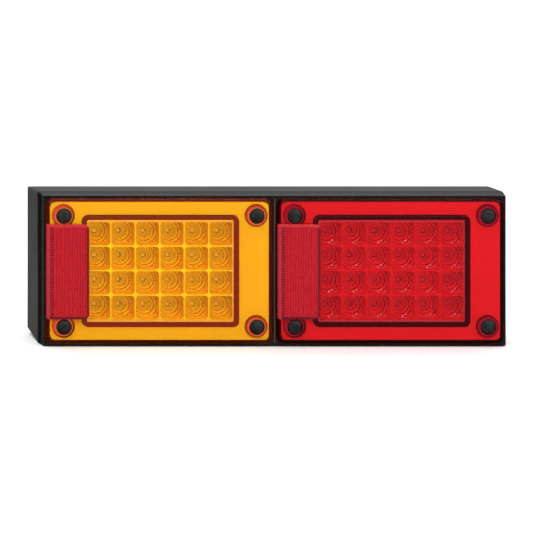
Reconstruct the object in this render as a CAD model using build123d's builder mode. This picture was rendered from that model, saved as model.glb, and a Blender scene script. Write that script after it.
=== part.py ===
from build123d import *
import os

os.makedirs("parts", exist_ok=True)

# Twin LED rear lamp for a trailer: one black housing, an amber and a red module
# side by side, each with an LED window, a reflex reflector and four plugged lens
# screws.
#
# Frame: X across the lamp (amber at -X, red at +X), Z up, the lit face looks
# towards -Y. The origin is the centre of the rear mounting plane. Names ending in
# _D are depths from that plane towards the lit face, so depth d is y = -d.
# Left is -X. All dimensions are millimetres.

GAP = 0.05  # clearance between close-fitting pieces
ARC_MID = 1 - 0.5**0.5  # how far a quarter bend has turned aside at its midpoint, per radius

# housing and bezel
HOUSING_W, HOUSING_H = 304.0, 99.2  # outline at the seam, its largest section
REAR_W, REAR_H = 303.0, 93.0  # outline at the rear, after moulding draft
FACE_W, FACE_H = 301.6, 98.2  # outline of the bezel's front rim
REAR_D = 1.0  # the housing's own rear edge; the pad stands 1 mm proud of it
RECESS_W, RECESS_H, RECESS_R = 290.0, 84.0, 3.0  # pad recess
RECESS_D = 3.0  # floor of the pad recess
FLOOR_D = 5.4  # inside floor
SEAM_D = 27.0  # housing meets bezel
SEAM_V = 0.35  # each side's share of the groove along the seam
RIM_D = 36.0  # front of the bezel
WALL = 2.6
OUTER_R = 1.0  # outline corners
GROOVE_R = 0.7  # outline corners at the bottom of the seam groove

# lens modules
MODULE_X = 75.4  # module centres at +/- this
OPENING_W, OPENING_H = 148.0, 95.2
LEDGE = 3.2
LEDGE_D = 29.0
LENS_FIT = 0.3  # gap round the lens in its opening
LENS_W, LENS_H, LENS_R = OPENING_W - 2 * LENS_FIT, OPENING_H - 2 * LENS_FIT, 4.5
LENS_D = 38.5  # front face of the lens
PLATE_D = 36.0  # back of its front plate
SKIRT = 2.2
SKIRT_D = 30.0

# LED window
WINDOW_DX = 0.6  # the window sits a little off the lens centre
WINDOW_W, WINDOW_H, WINDOW_R = 102.0, 72.7, 4.0
PITCH = 16.0  # of the LEDs, both ways
COLUMNS, ROWS = 6, 4

# lens screws and plugs
SCREW_X, SCREW_Z, SCREW_DX = 62.9, 36.2, 0.2
BOSS_R, BOSS_D = 7.2, 27.0
POCKET_R, POCKET_D = 5.05, 31.0
SHANK_R, CLEAR_R, PILOT_R = 2.0, 2.15, 2.05

# reflex reflector at the left end of each lens, x measured from the lens centre
REFLEX_LEFT, REFLEX_RIGHT, REFLEX_H = -74.2, -46.5, 62.0
REFLEX_W = REFLEX_RIGHT - REFLEX_LEFT
REFLEX_MID = (REFLEX_LEFT + REFLEX_RIGHT) / 2
REFLEX_SEAT_D, REFLEX_FRONT_D = 37.4, 40.0
HOLLOW_W, HOLLOW_H = REFLEX_W - 2.8, REFLEX_H - 3.0  # behind the cover
HOLLOW_MID = REFLEX_MID + 0.1

# circuit boards
BOARD_W, BOARD_H = 114.0, 70.0
BOARD_REAR_D, BOARD_FRONT_D = 21.5, 23.1
BOARD_SCREW_X, BOARD_SCREW_Z = 54.2, 22.0

# connectors and leads
CONNECTOR_DX = 48.0  # from the board centre towards the middle of the lamp
CONNECTOR_W = 6.0
PIN_PITCH = 2.5
WIRE_D = BOARD_REAR_D - 3.0  # depth of the wires where they enter the connector

# rear studs and cable
STUD_X, STUD_Z, STUD_R, STUD_OUT = 120.0, 25.0, 2.5, 18.0
CABLE_X, CABLE_R, GROMMET_R = -9.5, 3.2, 6.0
SHEATH_END_D = 11.0  # end of the cable sheath inside the housing


def front(d):
    """Plane at depth d, looking out of the lit face: its x is X and its y is Z."""
    return Plane(origin=(0, -d, 0), x_dir=(1, 0, 0), z_dir=(0, -1, 0))


def corners(x_mid, reach_x, reach_z):
    """Upper left, upper right, lower left and lower right points about (x_mid, 0)."""
    return [(x_mid + sx * reach_x, sz * reach_z) for sz in (1, -1) for sx in (-1, 1)]


def screw_points(x_mid):
    return corners(x_mid + SCREW_DX, SCREW_X, SCREW_Z)


def board_points(x_mid):
    return corners(x_mid + WINDOW_DX, BOARD_SCREW_X, BOARD_SCREW_Z)


def column_places(x_mid):
    return [x_mid + WINDOW_DX + (i - (COLUMNS - 1) / 2) * PITCH for i in range(COLUMNS)]


def cell_points(x_mid):
    return [
        (x, ((ROWS - 1) / 2 - j) * PITCH) for j in range(ROWS) for x in column_places(x_mid)
    ]


def pin_places(pins):
    return [(i - (pins - 1) / 2) * PIN_PITCH for i in range(pins)]


def save(name, part):
    part.label = name
    export_step(part, f"parts/{name}.step")


STUD_POINTS = corners(0, STUD_X, STUD_Z)
ALL_SCREWS = screw_points(-MODULE_X) + screw_points(MODULE_X)
ALL_BOARD = board_points(-MODULE_X) + board_points(MODULE_X)

# --------------------------------------------------------------- housing ---

ROOT_D = FLOOR_D - 0.6  # inside features start within the floor
PARTITION_W, PARTITION_H, PARTITION_D = 2.0, 91.0, 24.4
NOTCH_H, NOTCH_DEPTH = 14.0, 15.4
POST_RIB_W, POST_RIB_DEPTH = 1.8, 15.0
POST_RIB_Z = 46.2  # outer end of the post ribs, in the long wall
FLOOR_RIB_W, FLOOR_RIB_H, FLOOR_RIB_PITCH = 1.6, 80.0, 30.0

# points, radius, rear depth, front depth, mode
HOUSING_ROUNDS = (
    (ALL_SCREWS, 4.5, ROOT_D, BOSS_D - 0.1, Mode.ADD),  # lens screw posts
    (ALL_BOARD, 3.0, ROOT_D, BOARD_REAR_D, Mode.ADD),  # board standoffs
    (STUD_POINTS, 6.5, RECESS_D, 12.0, Mode.ADD),  # stud bosses
    (ALL_SCREWS, PILOT_R, 8.0, 30.0, Mode.SUBTRACT),  # lens screw pilots
    (ALL_BOARD, 1.25, 12.5, 24.5, Mode.SUBTRACT),  # board screw pilots
    (STUD_POINTS, 3.25, RECESS_D - 0.5, 10.0, Mode.SUBTRACT),  # blind stud seats
    ([(CABLE_X, 0)], GROMMET_R, 0.0, FLOOR_D + 1, Mode.SUBTRACT),  # cable hole
)


def make_base_housing():
    with BuildPart() as housing:
        # drafted tub, largest at the seam
        with BuildSketch(front(REAR_D)):
            RectangleRounded(REAR_W, REAR_H, 1.1)
        with BuildSketch(front(SEAM_D - SEAM_V)):
            RectangleRounded(HOUSING_W, HOUSING_H, OUTER_R)
        loft()
        fillet(housing.faces().sort_by(Axis.Y)[-1].edges(), 0.6)
        # half of the V-groove at the seam
        with BuildSketch(front(SEAM_D - SEAM_V)):
            RectangleRounded(HOUSING_W, HOUSING_H, OUTER_R)
        with BuildSketch(front(SEAM_D)):
            RectangleRounded(HOUSING_W - 2 * SEAM_V, HOUSING_H - 2 * SEAM_V, GROOVE_R)
        loft()
        # inside
        with BuildSketch(front(FLOOR_D)):
            RectangleRounded(REAR_W - 2 * WALL, REAR_H - 2 * WALL, 1.6)
        with BuildSketch(front(SEAM_D)):
            RectangleRounded(HOUSING_W - 2 * WALL, HOUSING_H - 2 * WALL, 1.2)
        loft(mode=Mode.SUBTRACT)
        # recess for the mounting pad
        with BuildSketch(front(REAR_D - 0.5)):
            RectangleRounded(RECESS_W, RECESS_H, RECESS_R)
        extrude(amount=RECESS_D - REAR_D + 0.5, mode=Mode.SUBTRACT)
        # partition between the two modules, notched for the leads
        with BuildSketch(front(ROOT_D)):
            Rectangle(PARTITION_W, PARTITION_H)
        extrude(amount=PARTITION_D - FLOOR_D)
        with BuildSketch(front(FLOOR_D)):
            Rectangle(2 * PARTITION_W, NOTCH_H)
        extrude(amount=NOTCH_DEPTH, mode=Mode.SUBTRACT)
        # ribs that tie each screw post to the nearest long wall
        with BuildSketch(front(ROOT_D)):
            for x_mid in (-MODULE_X, MODULE_X):
                rib_z = (SCREW_Z + POST_RIB_Z) / 2
                with Locations(*corners(x_mid + SCREW_DX, SCREW_X, rib_z)):
                    Rectangle(POST_RIB_W, POST_RIB_Z - SCREW_Z)
        extrude(amount=POST_RIB_DEPTH)
        # posts, standoffs and bosses, then their holes
        for points, radius, rear_d, front_d, mode in HOUSING_ROUNDS:
            with BuildSketch(front(rear_d)):
                with Locations(*points):
                    Circle(radius)
            extrude(amount=front_d - rear_d, mode=mode)
        # stiffening ribs across the inside floor of each module bay
        with BuildSketch(front(FLOOR_D - 0.4)):
            for x_mid in (-MODULE_X, MODULE_X):
                for i in (-1, 0, 1):
                    with Locations((x_mid + i * FLOOR_RIB_PITCH, 0)):
                        Rectangle(FLOOR_RIB_W, FLOOR_RIB_H)
        extrude(amount=3.4)
    return housing.part


TONGUE_FIT = 0.4  # gap between the bezel's tongue and the housing wall
TONGUE_DEPTH = 2.2
DIVIDER_W = 1.0  # rib left between the lenses at the rim
SHOULDER_W = 1.0


def make_front_bezel():
    with BuildPart() as bezel:
        with BuildSketch(front(SEAM_D + SEAM_V)):
            RectangleRounded(HOUSING_W, HOUSING_H, OUTER_R)
        with BuildSketch(front(RIM_D)):
            RectangleRounded(FACE_W, FACE_H, OUTER_R)
        loft()
        fillet(bezel.faces().sort_by(Axis.Y)[0].edges(), 0.5)
        # the bezel's half of the V-groove at the seam
        with BuildSketch(front(SEAM_D)):
            RectangleRounded(HOUSING_W - 2 * SEAM_V, HOUSING_H - 2 * SEAM_V, GROOVE_R)
        with BuildSketch(front(SEAM_D + SEAM_V)):
            RectangleRounded(HOUSING_W, HOUSING_H, OUTER_R)
        loft()
        # tongue that drops inside the housing wall
        with BuildSketch(front(SEAM_D - TONGUE_DEPTH)):
            inset = 2 * (WALL + TONGUE_FIT)
            RectangleRounded(HOUSING_W - inset, HOUSING_H - inset, 1.2)
        extrude(amount=TONGUE_DEPTH + 0.2)
        # the two lens openings, stepped to leave a ledge for the gaskets
        with BuildSketch(front(LEDGE_D)):
            with Locations((-MODULE_X, 0), (MODULE_X, 0)):
                RectangleRounded(OPENING_W, OPENING_H, 4.7)
        extrude(amount=12.0, mode=Mode.SUBTRACT)
        with BuildSketch(front(SEAM_D - 4)):
            with Locations((-MODULE_X, 0), (MODULE_X, 0)):
                RectangleRounded(OPENING_W - 2 * LEDGE, OPENING_H - 2 * LEDGE, 2.0)
        extrude(amount=12.0, mode=Mode.SUBTRACT)
        # shoulders either side of the rib that divides the lenses
        shoulder_x = (DIVIDER_W + SHOULDER_W) / 2
        with BuildSketch(front(RIM_D - 1.0)):
            with Locations((-shoulder_x, 0), (shoulder_x, 0)):
                Rectangle(SHOULDER_W, OPENING_H - 4.0)
        extrude(amount=2.0, mode=Mode.SUBTRACT)
    return bezel.part


# ------------------------------------------------------------ lens units ---

WINDOW_WALL = 2.9
WINDOW_D = 25.6  # rear end of the window wall
PLATE_OVERLAP = 0.2  # walls and bosses run this far into the front plate
SEAT_LEFT = -80.0  # the reflector seat is cut from beyond the lens end


def make_lens(x_mid):
    with BuildPart() as lens:
        # front plate with a rolled edge, and a skirt behind it
        with BuildSketch(front(SKIRT_D)):
            with Locations((x_mid, 0)):
                RectangleRounded(LENS_W, LENS_H, LENS_R)
        extrude(amount=LENS_D - SKIRT_D)
        fillet(lens.faces().sort_by(Axis.Y)[0].edges(), 2.0)
        with BuildSketch(front(SKIRT_D)):
            with Locations((x_mid, 0)):
                RectangleRounded(LENS_W - 2 * SKIRT, LENS_H - 2 * SKIRT, 1.8)
        extrude(amount=PLATE_D - SKIRT_D, mode=Mode.SUBTRACT)
        # the deep wall round the LED window
        with BuildSketch(front(WINDOW_D)):
            with Locations((x_mid + WINDOW_DX, 0)):
                RectangleRounded(WINDOW_W, WINDOW_H, WINDOW_R)
                RectangleRounded(
                    WINDOW_W - 2 * WINDOW_WALL,
                    WINDOW_H - 2 * WINDOW_WALL,
                    2.0,
                    mode=Mode.SUBTRACT,
                )
        extrude(amount=PLATE_D - WINDOW_D + PLATE_OVERLAP)
        # screw bosses, their plug pockets and clearance holes
        for radius, rear_d, depth, mode in (
            (BOSS_R, BOSS_D, PLATE_D - BOSS_D + PLATE_OVERLAP, Mode.ADD),
            (POCKET_R, POCKET_D, 12.0, Mode.SUBTRACT),
            (CLEAR_R, BOSS_D - 1, 12.0, Mode.SUBTRACT),
        ):
            with BuildSketch(front(rear_d)):
                with Locations(*screw_points(x_mid)):
                    Circle(radius)
            extrude(amount=depth, mode=mode)
        # shallow seat for the reflex reflector, open at the lens end
        seat_right = REFLEX_RIGHT + GAP
        with BuildSketch(front(REFLEX_SEAT_D)):
            with Locations((x_mid + (seat_right + SEAT_LEFT) / 2, 0)):
                RectangleRounded(seat_right - SEAT_LEFT, REFLEX_H + 2 * GAP, 3.5)
        extrude(amount=4.0, mode=Mode.SUBTRACT)
    return lens.part


def make_reflex_cover(x_mid):
    with BuildPart() as cover:
        with BuildSketch(front(REFLEX_SEAT_D)) as outline:
            with Locations((x_mid + REFLEX_MID, 0)):
                Rectangle(REFLEX_W, REFLEX_H)
            fillet(outline.vertices().group_by(Axis.X)[-1], 3.4)
            fillet(outline.vertices().group_by(Axis.X)[0], 1.2)
        extrude(amount=REFLEX_FRONT_D - REFLEX_SEAT_D)
        fillet(cover.faces().sort_by(Axis.Y)[0].edges(), 0.9)
        # hollow that takes the prism plate
        with BuildSketch(front(REFLEX_SEAT_D)):
            with Locations((x_mid + HOLLOW_MID, 0)):
                RectangleRounded(HOLLOW_W, HOLLOW_H, 1.6)
        extrude(amount=1.5, mode=Mode.SUBTRACT)
    return cover.part


PRISM_W, PRISM_H = HOLLOW_W - 0.2, HOLLOW_H - 0.2
RIDGE_W, RIDGE_RISE = 1.66, 0.68
RIDGE_ROOT_D = REFLEX_SEAT_D + 0.7  # ridges start just inside the plate
UPRIGHT_COUNT, UPRIGHT_PITCH, UPRIGHT_START = 12, 1.72, 3.65
CROSS_COUNT, CROSS_PITCH, CROSS_START = 32, 1.74, 1.6


def make_prism_plate(x_mid):
    x_left = x_mid + HOLLOW_MID - PRISM_W / 2
    y_root = -RIDGE_ROOT_D
    y_tip = y_root - RIDGE_RISE
    with BuildPart() as prisms:
        with BuildSketch(front(REFLEX_SEAT_D + 0.03)):
            with Locations((x_mid + HOLLOW_MID, 0)):
                RectangleRounded(PRISM_W, PRISM_H, 1.5)
        extrude(amount=0.75)
        # vertical prism ridges, the main field
        with BuildSketch(Plane.XY.offset(-PRISM_H / 2 + 1.0)):
            for i in range(UPRIGHT_COUNT):
                x = x_left + UPRIGHT_START + UPRIGHT_PITCH * i
                with BuildLine():
                    Polyline(
                        (x, y_root), (x + RIDGE_W, y_root), (x + RIDGE_W / 2, y_tip), close=True
                    )
                make_face()
        extrude(amount=PRISM_H - 2.0)
        # a narrow strip of crosswise ridges at the left end
        with BuildSketch(Plane.YZ.offset(x_left + 0.55)):
            for i in range(CROSS_COUNT):
                z = -PRISM_H / 2 + CROSS_START + CROSS_PITCH * i
                with BuildLine():
                    Polyline(
                        (y_root, z), (y_root, z + RIDGE_W), (y_tip, z + RIDGE_W / 2), close=True
                    )
                make_face()
        extrude(amount=2.6)
    return prisms.part


BACKING_D = 34.6  # rear of the backing
BACKING_FIT = 0.3  # its gap to the skirt and the window wall


def make_backing(x_mid):
    """Sheet behind the lens plate, between the skirt and the window wall."""
    inset = 2 * (SKIRT + BACKING_FIT)
    with BuildPart() as backing:
        with BuildSketch(front(BACKING_D)):
            with Locations((x_mid, 0)):
                RectangleRounded(LENS_W - inset, LENS_H - inset, 1.6)
            with Locations((x_mid + WINDOW_DX, 0)):
                RectangleRounded(
                    WINDOW_W + 2 * BACKING_FIT,
                    WINDOW_H + 2 * BACKING_FIT,
                    WINDOW_R + BACKING_FIT,
                    mode=Mode.SUBTRACT,
                )
            with Locations(*screw_points(x_mid)):
                Circle(BOSS_R + 0.25, mode=Mode.SUBTRACT)
        extrude(amount=PLATE_D - GAP - BACKING_D)
    return backing.part


HEAD_R, HEAD_DEPTH = 3.9, 2.4
CROSS_L, CROSS_W = 4.4, 0.95
SHANK_END_D = 11.0
TIP_R, TIP_END_D = 0.9, 9.0


def make_lens_screws(x_mid):
    points = screw_points(x_mid)
    with BuildPart() as screws:
        with BuildSketch(front(POCKET_D)):
            with Locations(*points):
                Circle(HEAD_R)
        extrude(amount=HEAD_DEPTH)
        fillet(screws.faces().filter_by(Axis.Y).sort_by(Axis.Y)[:4].edges(), 0.9)
        # cross recess
        with BuildSketch(front(POCKET_D + 1.1)):
            with Locations(*points):
                Rectangle(CROSS_L, CROSS_W)
                Rectangle(CROSS_W, CROSS_L)
        extrude(amount=2.0, mode=Mode.SUBTRACT)
        # shank, and a thin tip behind it
        with BuildSketch(front(SHANK_END_D)):
            with Locations(*points):
                Circle(SHANK_R)
        extrude(amount=POCKET_D + 0.1 - SHANK_END_D)
        with BuildSketch(front(TIP_END_D)):
            with Locations(*points):
                Circle(TIP_R)
        extrude(amount=SHANK_END_D - TIP_END_D + 0.2)
        # taper the shank's rear end down to the tip
        chamfer(
            screws.faces().filter_by(Axis.Y).group_by(Axis.Y)[-2].edges().filter_by(
                lambda e: abs(e.radius - SHANK_R) < 0.01
            ),
            1.0,
        )
    return screws.part


PLUG_R = POCKET_R - GAP
PLUG_HOLLOW_R = 3.3
PLUG_REAR_Y, PLUG_HOLLOW_Y = -34.0, -36.4
PLUG_EDGE_Y, PLUG_RIM_Y, PLUG_TOP_Y = -38.3, -39.0, -39.3  # side, rolled edge, dome


def make_plug(x, z):
    """Soft domed plug, hollow behind, that fills one screw pocket."""
    bevel = (PLUG_R - 0.3, PLUG_REAR_Y)
    side_rear = (PLUG_R, PLUG_REAR_Y - 0.5)
    side_front = (PLUG_R, PLUG_EDGE_Y)
    rim = (PLUG_R - 0.85, PLUG_RIM_Y)
    dome = (1.0, PLUG_TOP_Y)
    with BuildPart() as plug:
        # half section: radius, y
        with BuildSketch(Plane(origin=(x, 0, z), x_dir=(1, 0, 0), z_dir=(0, 0, 1))):
            with BuildLine():
                Line((0, PLUG_HOLLOW_Y), (PLUG_HOLLOW_R, PLUG_HOLLOW_Y))
                Line((PLUG_HOLLOW_R, PLUG_HOLLOW_Y), (PLUG_HOLLOW_R, PLUG_REAR_Y))
                Line((PLUG_HOLLOW_R, PLUG_REAR_Y), bevel)
                Line(bevel, side_rear)
                Line(side_rear, side_front)
                ThreePointArc(side_front, (PLUG_R - 0.28, -38.82), rim)
                TangentArc(dome, rim, tangent=(1, 0))
                Line(dome, (0, PLUG_TOP_Y))
                Line((0, PLUG_TOP_Y), (0, PLUG_HOLLOW_Y))
            make_face()
        revolve(axis=Axis((x, 0, z), (0, 1, 0)))
    return plug.part


GASKET_GAP = 0.04  # between the gasket and the ledge or skirt


def make_gasket(x_mid):
    with BuildPart() as gasket:
        with BuildSketch(front(LEDGE_D + GASKET_GAP)):
            with Locations((x_mid, 0)):
                RectangleRounded(OPENING_W - 0.8, OPENING_H - 0.8, 4.3)
                RectangleRounded(
                    OPENING_W - 2 * LEDGE + 0.6,
                    OPENING_H - 2 * LEDGE + 0.6,
                    2.0,
                    mode=Mode.SUBTRACT,
                )
        extrude(amount=SKIRT_D - LEDGE_D - 2 * GASKET_GAP)
    return gasket.part


# ---------------------------------------------------------- light engine ---

TRAY_W, TRAY_H = 95.8, 66.6
TRAY_REAR_D, TRAY_FRONT_D = 24.25, 34.7
CELL = 14.7  # side of a reflector cell at the front

# half section of a cell: radius, y
CELL_PROFILE = (
    (0, -24.0), (1.9, -24.0),
    (1.9, -25.0), (4.4, -25.55),
    (4.4, -25.95), (6.5, -26.5),
    (6.5, -26.9), (8.1, -27.4),
    (8.1, -27.8), (11.0, -28.8),
    (11.0, -35.5), (0, -35.5),
)


def make_cell_cutter():
    """Rounded-square well whose floor steps down in rings towards the LED hole."""
    with BuildPart() as cutter:
        with BuildSketch(Plane.XY):
            with BuildLine():
                Polyline(*CELL_PROFILE, close=True)
            make_face()
        revolve(axis=Axis.Y)
        with BuildSketch(front(23.9)):
            RectangleRounded(CELL - 0.9, CELL - 0.9, 2.2)
        with BuildSketch(front(35.6)):
            RectangleRounded(CELL + 0.06, CELL + 0.06, 3.0)
        loft(mode=Mode.INTERSECT)
    return cutter.part


def make_tray(x_mid):
    cutter = make_cell_cutter()
    with BuildPart() as tray:
        with BuildSketch(front(TRAY_REAR_D)):
            with Locations((x_mid + WINDOW_DX, 0)):
                RectangleRounded(TRAY_W, TRAY_H, 1.6)
        extrude(amount=TRAY_FRONT_D - TRAY_REAR_D)
        with Locations(*[(x, 0, z) for x, z in cell_points(x_mid)]):
            add(cutter, mode=Mode.SUBTRACT)
    return tray.part


LED_W, LED_H, LED_BASE = 3.4, 3.0, 1.0
DOME_R, COLLAR = 1.45, 0.5


def make_leds(x_mid):
    points = cell_points(x_mid)
    collar_d = BOARD_FRONT_D + LED_BASE
    with BuildPart() as leds:
        with BuildSketch(front(BOARD_FRONT_D)):
            with Locations(*points):
                RectangleRounded(LED_W, LED_H, 0.3)
        extrude(amount=LED_BASE)
        with Locations(*[(x, -collar_d, z) for x, z in points]):
            Cylinder(
                DOME_R,
                COLLAR,
                rotation=(90, 0, 0),
                align=(Align.CENTER, Align.CENTER, Align.MIN),
            )
        with Locations(*[(x, -(collar_d + COLLAR), z) for x, z in points]):
            Sphere(DOME_R, arc_size1=-90, arc_size2=90)
    return leds.part


def make_board(x_mid):
    with BuildPart() as board:
        with BuildSketch(front(BOARD_REAR_D)):
            with Locations((x_mid + WINDOW_DX, 0)):
                RectangleRounded(BOARD_W, BOARD_H, 2.0)
            with Locations(*board_points(x_mid)):
                Circle(1.45, mode=Mode.SUBTRACT)
        extrude(amount=BOARD_FRONT_D - BOARD_REAR_D)
    return board.part


BOARD_HEAD_R, BOARD_HEAD_DEPTH = 2.3, 1.5
BOARD_CROSS_L, BOARD_CROSS_W = 2.6, 0.6
BOARD_SHANK_R, BOARD_SHANK_END_D = 1.2, 13.5


def make_board_screws(x_mid):
    points = board_points(x_mid)
    with BuildPart() as screws:
        with BuildSketch(front(BOARD_FRONT_D)):
            with Locations(*points):
                Circle(BOARD_HEAD_R)
        extrude(amount=BOARD_HEAD_DEPTH)
        fillet(screws.faces().filter_by(Axis.Y).sort_by(Axis.Y)[:4].edges(), 0.6)
        # cross recess
        with BuildSketch(front(BOARD_FRONT_D + 0.8)):
            with Locations(*points):
                Rectangle(BOARD_CROSS_L, BOARD_CROSS_W)
                Rectangle(BOARD_CROSS_W, BOARD_CROSS_L)
        extrude(amount=1.5, mode=Mode.SUBTRACT)
        with BuildSketch(front(BOARD_SHANK_END_D)):
            with Locations(*points):
                Circle(BOARD_SHANK_R)
        extrude(amount=BOARD_FRONT_D + 0.1 - BOARD_SHANK_END_D)
    return screws.part


RESISTOR_W, RESISTOR_H, RESISTOR_DEPTH, RESISTOR_Z = 3.2, 1.6, 0.6, 16.0
DRIVER_W, DRIVER_H, DRIVER_DEPTH, DRIVER_DX = 6.5, 6.1, 2.3, 22.0


def make_components(x_mid, side):
    """Resistors and one driver on the back of the board, clear of the floor."""
    with BuildPart() as components:
        with BuildSketch(front(BOARD_REAR_D - RESISTOR_DEPTH)):
            for z in (RESISTOR_Z, -RESISTOR_Z):
                with Locations(*[(x, z) for x in column_places(x_mid)]):
                    Rectangle(RESISTOR_W, RESISTOR_H)
        extrude(amount=RESISTOR_DEPTH)
        with BuildSketch(front(BOARD_REAR_D - DRIVER_DEPTH)):
            with Locations((x_mid + WINDOW_DX + side * DRIVER_DX, 0)):
                Rectangle(DRIVER_W, DRIVER_H)
        extrude(amount=DRIVER_DEPTH)
    return components.part


CONNECTOR_DEPTH = 5.8
MOUTH_R, MOUTH_DEPTH = 0.85, 2.6
LEAD_R, LEAD_BEND, LEAD_INSERT = 0.65, 3.0, 2.4


def make_connector(x_mid, side, pins):
    x_connector = x_mid + WINDOW_DX + side * CONNECTOR_DX
    with BuildPart() as connector:
        with BuildSketch(front(BOARD_REAR_D - CONNECTOR_DEPTH)):
            with Locations((x_connector, 0)):
                Rectangle(CONNECTOR_W, PIN_PITCH * pins + 2.4)
        extrude(amount=CONNECTOR_DEPTH)
        chamfer(connector.edges().filter_by(Axis.Y), 0.4)
        # wire mouths on the side that faces the middle of the lamp
        with BuildSketch(Plane.YZ.offset(x_connector + side * CONNECTOR_W / 2)):
            with Locations(*[(-WIRE_D, z) for z in pin_places(pins)]):
                Circle(MOUTH_R)
        extrude(amount=-side * MOUTH_DEPTH, mode=Mode.SUBTRACT)
    return connector.part


def make_leads(x_mid, side, pins, lead_dx):
    """Insulated cores: out of the sheath end, round a bend, into the connector."""
    x_end = x_mid + WINDOW_DX + side * (CONNECTOR_DX + CONNECTOR_W / 2 - LEAD_INSERT)
    x_start = CABLE_X + lead_dx
    x_turned = x_start - side * LEAD_BEND
    y_start = -SHEATH_END_D - GAP
    y_run = -WIRE_D
    y_bend = y_run + LEAD_BEND
    with BuildPart() as leads:
        for z in pin_places(pins):
            with BuildLine() as path:
                Line((x_start, y_start, z), (x_start, y_bend, z))
                ThreePointArc(
                    (x_start, y_bend, z),
                    (x_start - side * LEAD_BEND * ARC_MID, y_run + LEAD_BEND * ARC_MID, z),
                    (x_turned, y_run, z),
                )
                Line((x_turned, y_run, z), (x_end, y_run, z))
            with BuildSketch(
                Plane(origin=(x_start, y_start, z), x_dir=(1, 0, 0), z_dir=(0, -1, 0))
            ):
                Circle(LEAD_R)
            sweep(path=path.line)
    return leads.part


# ------------------------------------------------------- rear attachments ---


def make_rear_studs():
    with BuildPart() as studs:
        # wider root held in the boss, then the M5 shank that passes the panel
        with BuildSketch(front(2.7)):
            with Locations(*STUD_POINTS):
                Circle(3.2)
        extrude(amount=7.2)
        with BuildSketch(front(-STUD_OUT)):
            with Locations(*STUD_POINTS):
                Circle(STUD_R)
        extrude(amount=STUD_OUT + 2.8)
        chamfer(studs.faces().filter_by(Axis.Y).group_by(Axis.Y)[-1].edges(), 0.5)
    return studs.part


def make_mounting_pad():
    with BuildPart() as pad:
        with BuildSketch(front(0)):
            RectangleRounded(RECESS_W - 2.0, RECESS_H - 2.0, RECESS_R)
            with Locations(*STUD_POINTS):
                Circle(4.4, mode=Mode.SUBTRACT)
            with Locations((CABLE_X, 0)):
                Circle(9.0, mode=Mode.SUBTRACT)
        extrude(amount=RECESS_D - GAP)
    return pad.part


# half section of the grommet: radius, y
GROMMET_PROFILE = (
    (CABLE_R + GAP, 4.0),
    (4.6, 4.0),
    (5.2, -0.5),
    (8.0, -1.3),
    (8.0, -RECESS_D + GAP),
    (GROMMET_R - GAP, -RECESS_D + GAP),
    (GROMMET_R - GAP, -FLOOR_D - GAP),
    (7.4, -FLOOR_D - GAP),
    (6.8, -7.6),
    (CABLE_R + GAP, -7.6),
)


def make_cable_grommet():
    with BuildPart() as grommet:
        with BuildSketch(Plane(origin=(CABLE_X, 0, 0), x_dir=(1, 0, 0), z_dir=(0, 0, 1))):
            with BuildLine():
                Polyline(*GROMMET_PROFILE, close=True)
            make_face()
        revolve(axis=Axis((CABLE_X, 0, 0), (0, 1, 0)))
    return grommet.part


CABLE_BEND = 18.0
BEND_Y = 22.0  # the cable starts to turn down here
DROP_Y = BEND_Y + CABLE_BEND
CABLE_END_Z = -34.0
CORE_POINTS = corners(0, 1.1, 1.1)


def make_supply_cable():
    with BuildPart() as cable:
        with BuildLine() as path:
            Line((CABLE_X, -SHEATH_END_D, 0), (CABLE_X, BEND_Y, 0))
            ThreePointArc(
                (CABLE_X, BEND_Y, 0),
                (CABLE_X, DROP_Y - CABLE_BEND * ARC_MID, -CABLE_BEND * ARC_MID),
                (CABLE_X, DROP_Y, -CABLE_BEND),
            )
            Line((CABLE_X, DROP_Y, -CABLE_BEND), (CABLE_X, DROP_Y, CABLE_END_Z))
        with BuildSketch(
            Plane(origin=(CABLE_X, -SHEATH_END_D, 0), x_dir=(1, 0, 0), z_dir=(0, 1, 0))
        ):
            Circle(CABLE_R)
        sweep(path=path.line)
    return cable.part


def make_cable_cores():
    """Four insulated cores at the far end of the cable, with bared ends."""
    with BuildPart() as cores:
        for radius, z_top, length in (
            (0.8, CABLE_END_Z - GAP, 8.0),  # insulation
            (0.45, CABLE_END_Z - 8.0, 4.0),  # bare ends
        ):
            with BuildSketch(
                Plane(origin=(CABLE_X, DROP_Y, z_top), x_dir=(1, 0, 0), z_dir=(0, 0, -1))
            ):
                with Locations(*CORE_POINTS):
                    Circle(radius)
            extrude(amount=length)
    return cores.part


# ---------------------------------------------------------------- output ---

save("base_housing", make_base_housing())
save("front_bezel", make_front_bezel())

# colour, centre x, direction to the middle of the lamp, pins, lead x from the cable
MODULES = (
    ("amber", -MODULE_X, 1, 2, -1.7),
    ("red", MODULE_X, -1, 3, 1.0),
)
PLUG_PLACES = ("upper_left", "upper_right", "lower_left", "lower_right")

for colour, x_mid, side, pins, lead_dx in MODULES:
    pieces = {
        "lens": make_lens(x_mid),
        "reflex_reflector": make_reflex_cover(x_mid),
        "prism_plate": make_prism_plate(x_mid),
        "lens_backing": make_backing(x_mid),
        "lens_screws": make_lens_screws(x_mid),
        "lens_gasket": make_gasket(x_mid),
        "reflector_tray": make_tray(x_mid),
        "leds": make_leds(x_mid),
        "circuit_board": make_board(x_mid),
        "board_screws": make_board_screws(x_mid),
        "board_components": make_components(x_mid, side),
        "connector": make_connector(x_mid, side, pins),
        "leads": make_leads(x_mid, side, pins, lead_dx),
    }
    for place, (x, z) in zip(PLUG_PLACES, screw_points(x_mid)):
        pieces[f"plug_{place}"] = make_plug(x, z)
    for piece, part in pieces.items():
        save(f"{colour}_{piece}", part)

save("rear_studs", make_rear_studs())
save("mounting_pad", make_mounting_pad())
save("cable_grommet", make_cable_grommet())
save("supply_cable", make_supply_cable())
save("cable_cores", make_cable_cores())
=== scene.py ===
import math

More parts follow.
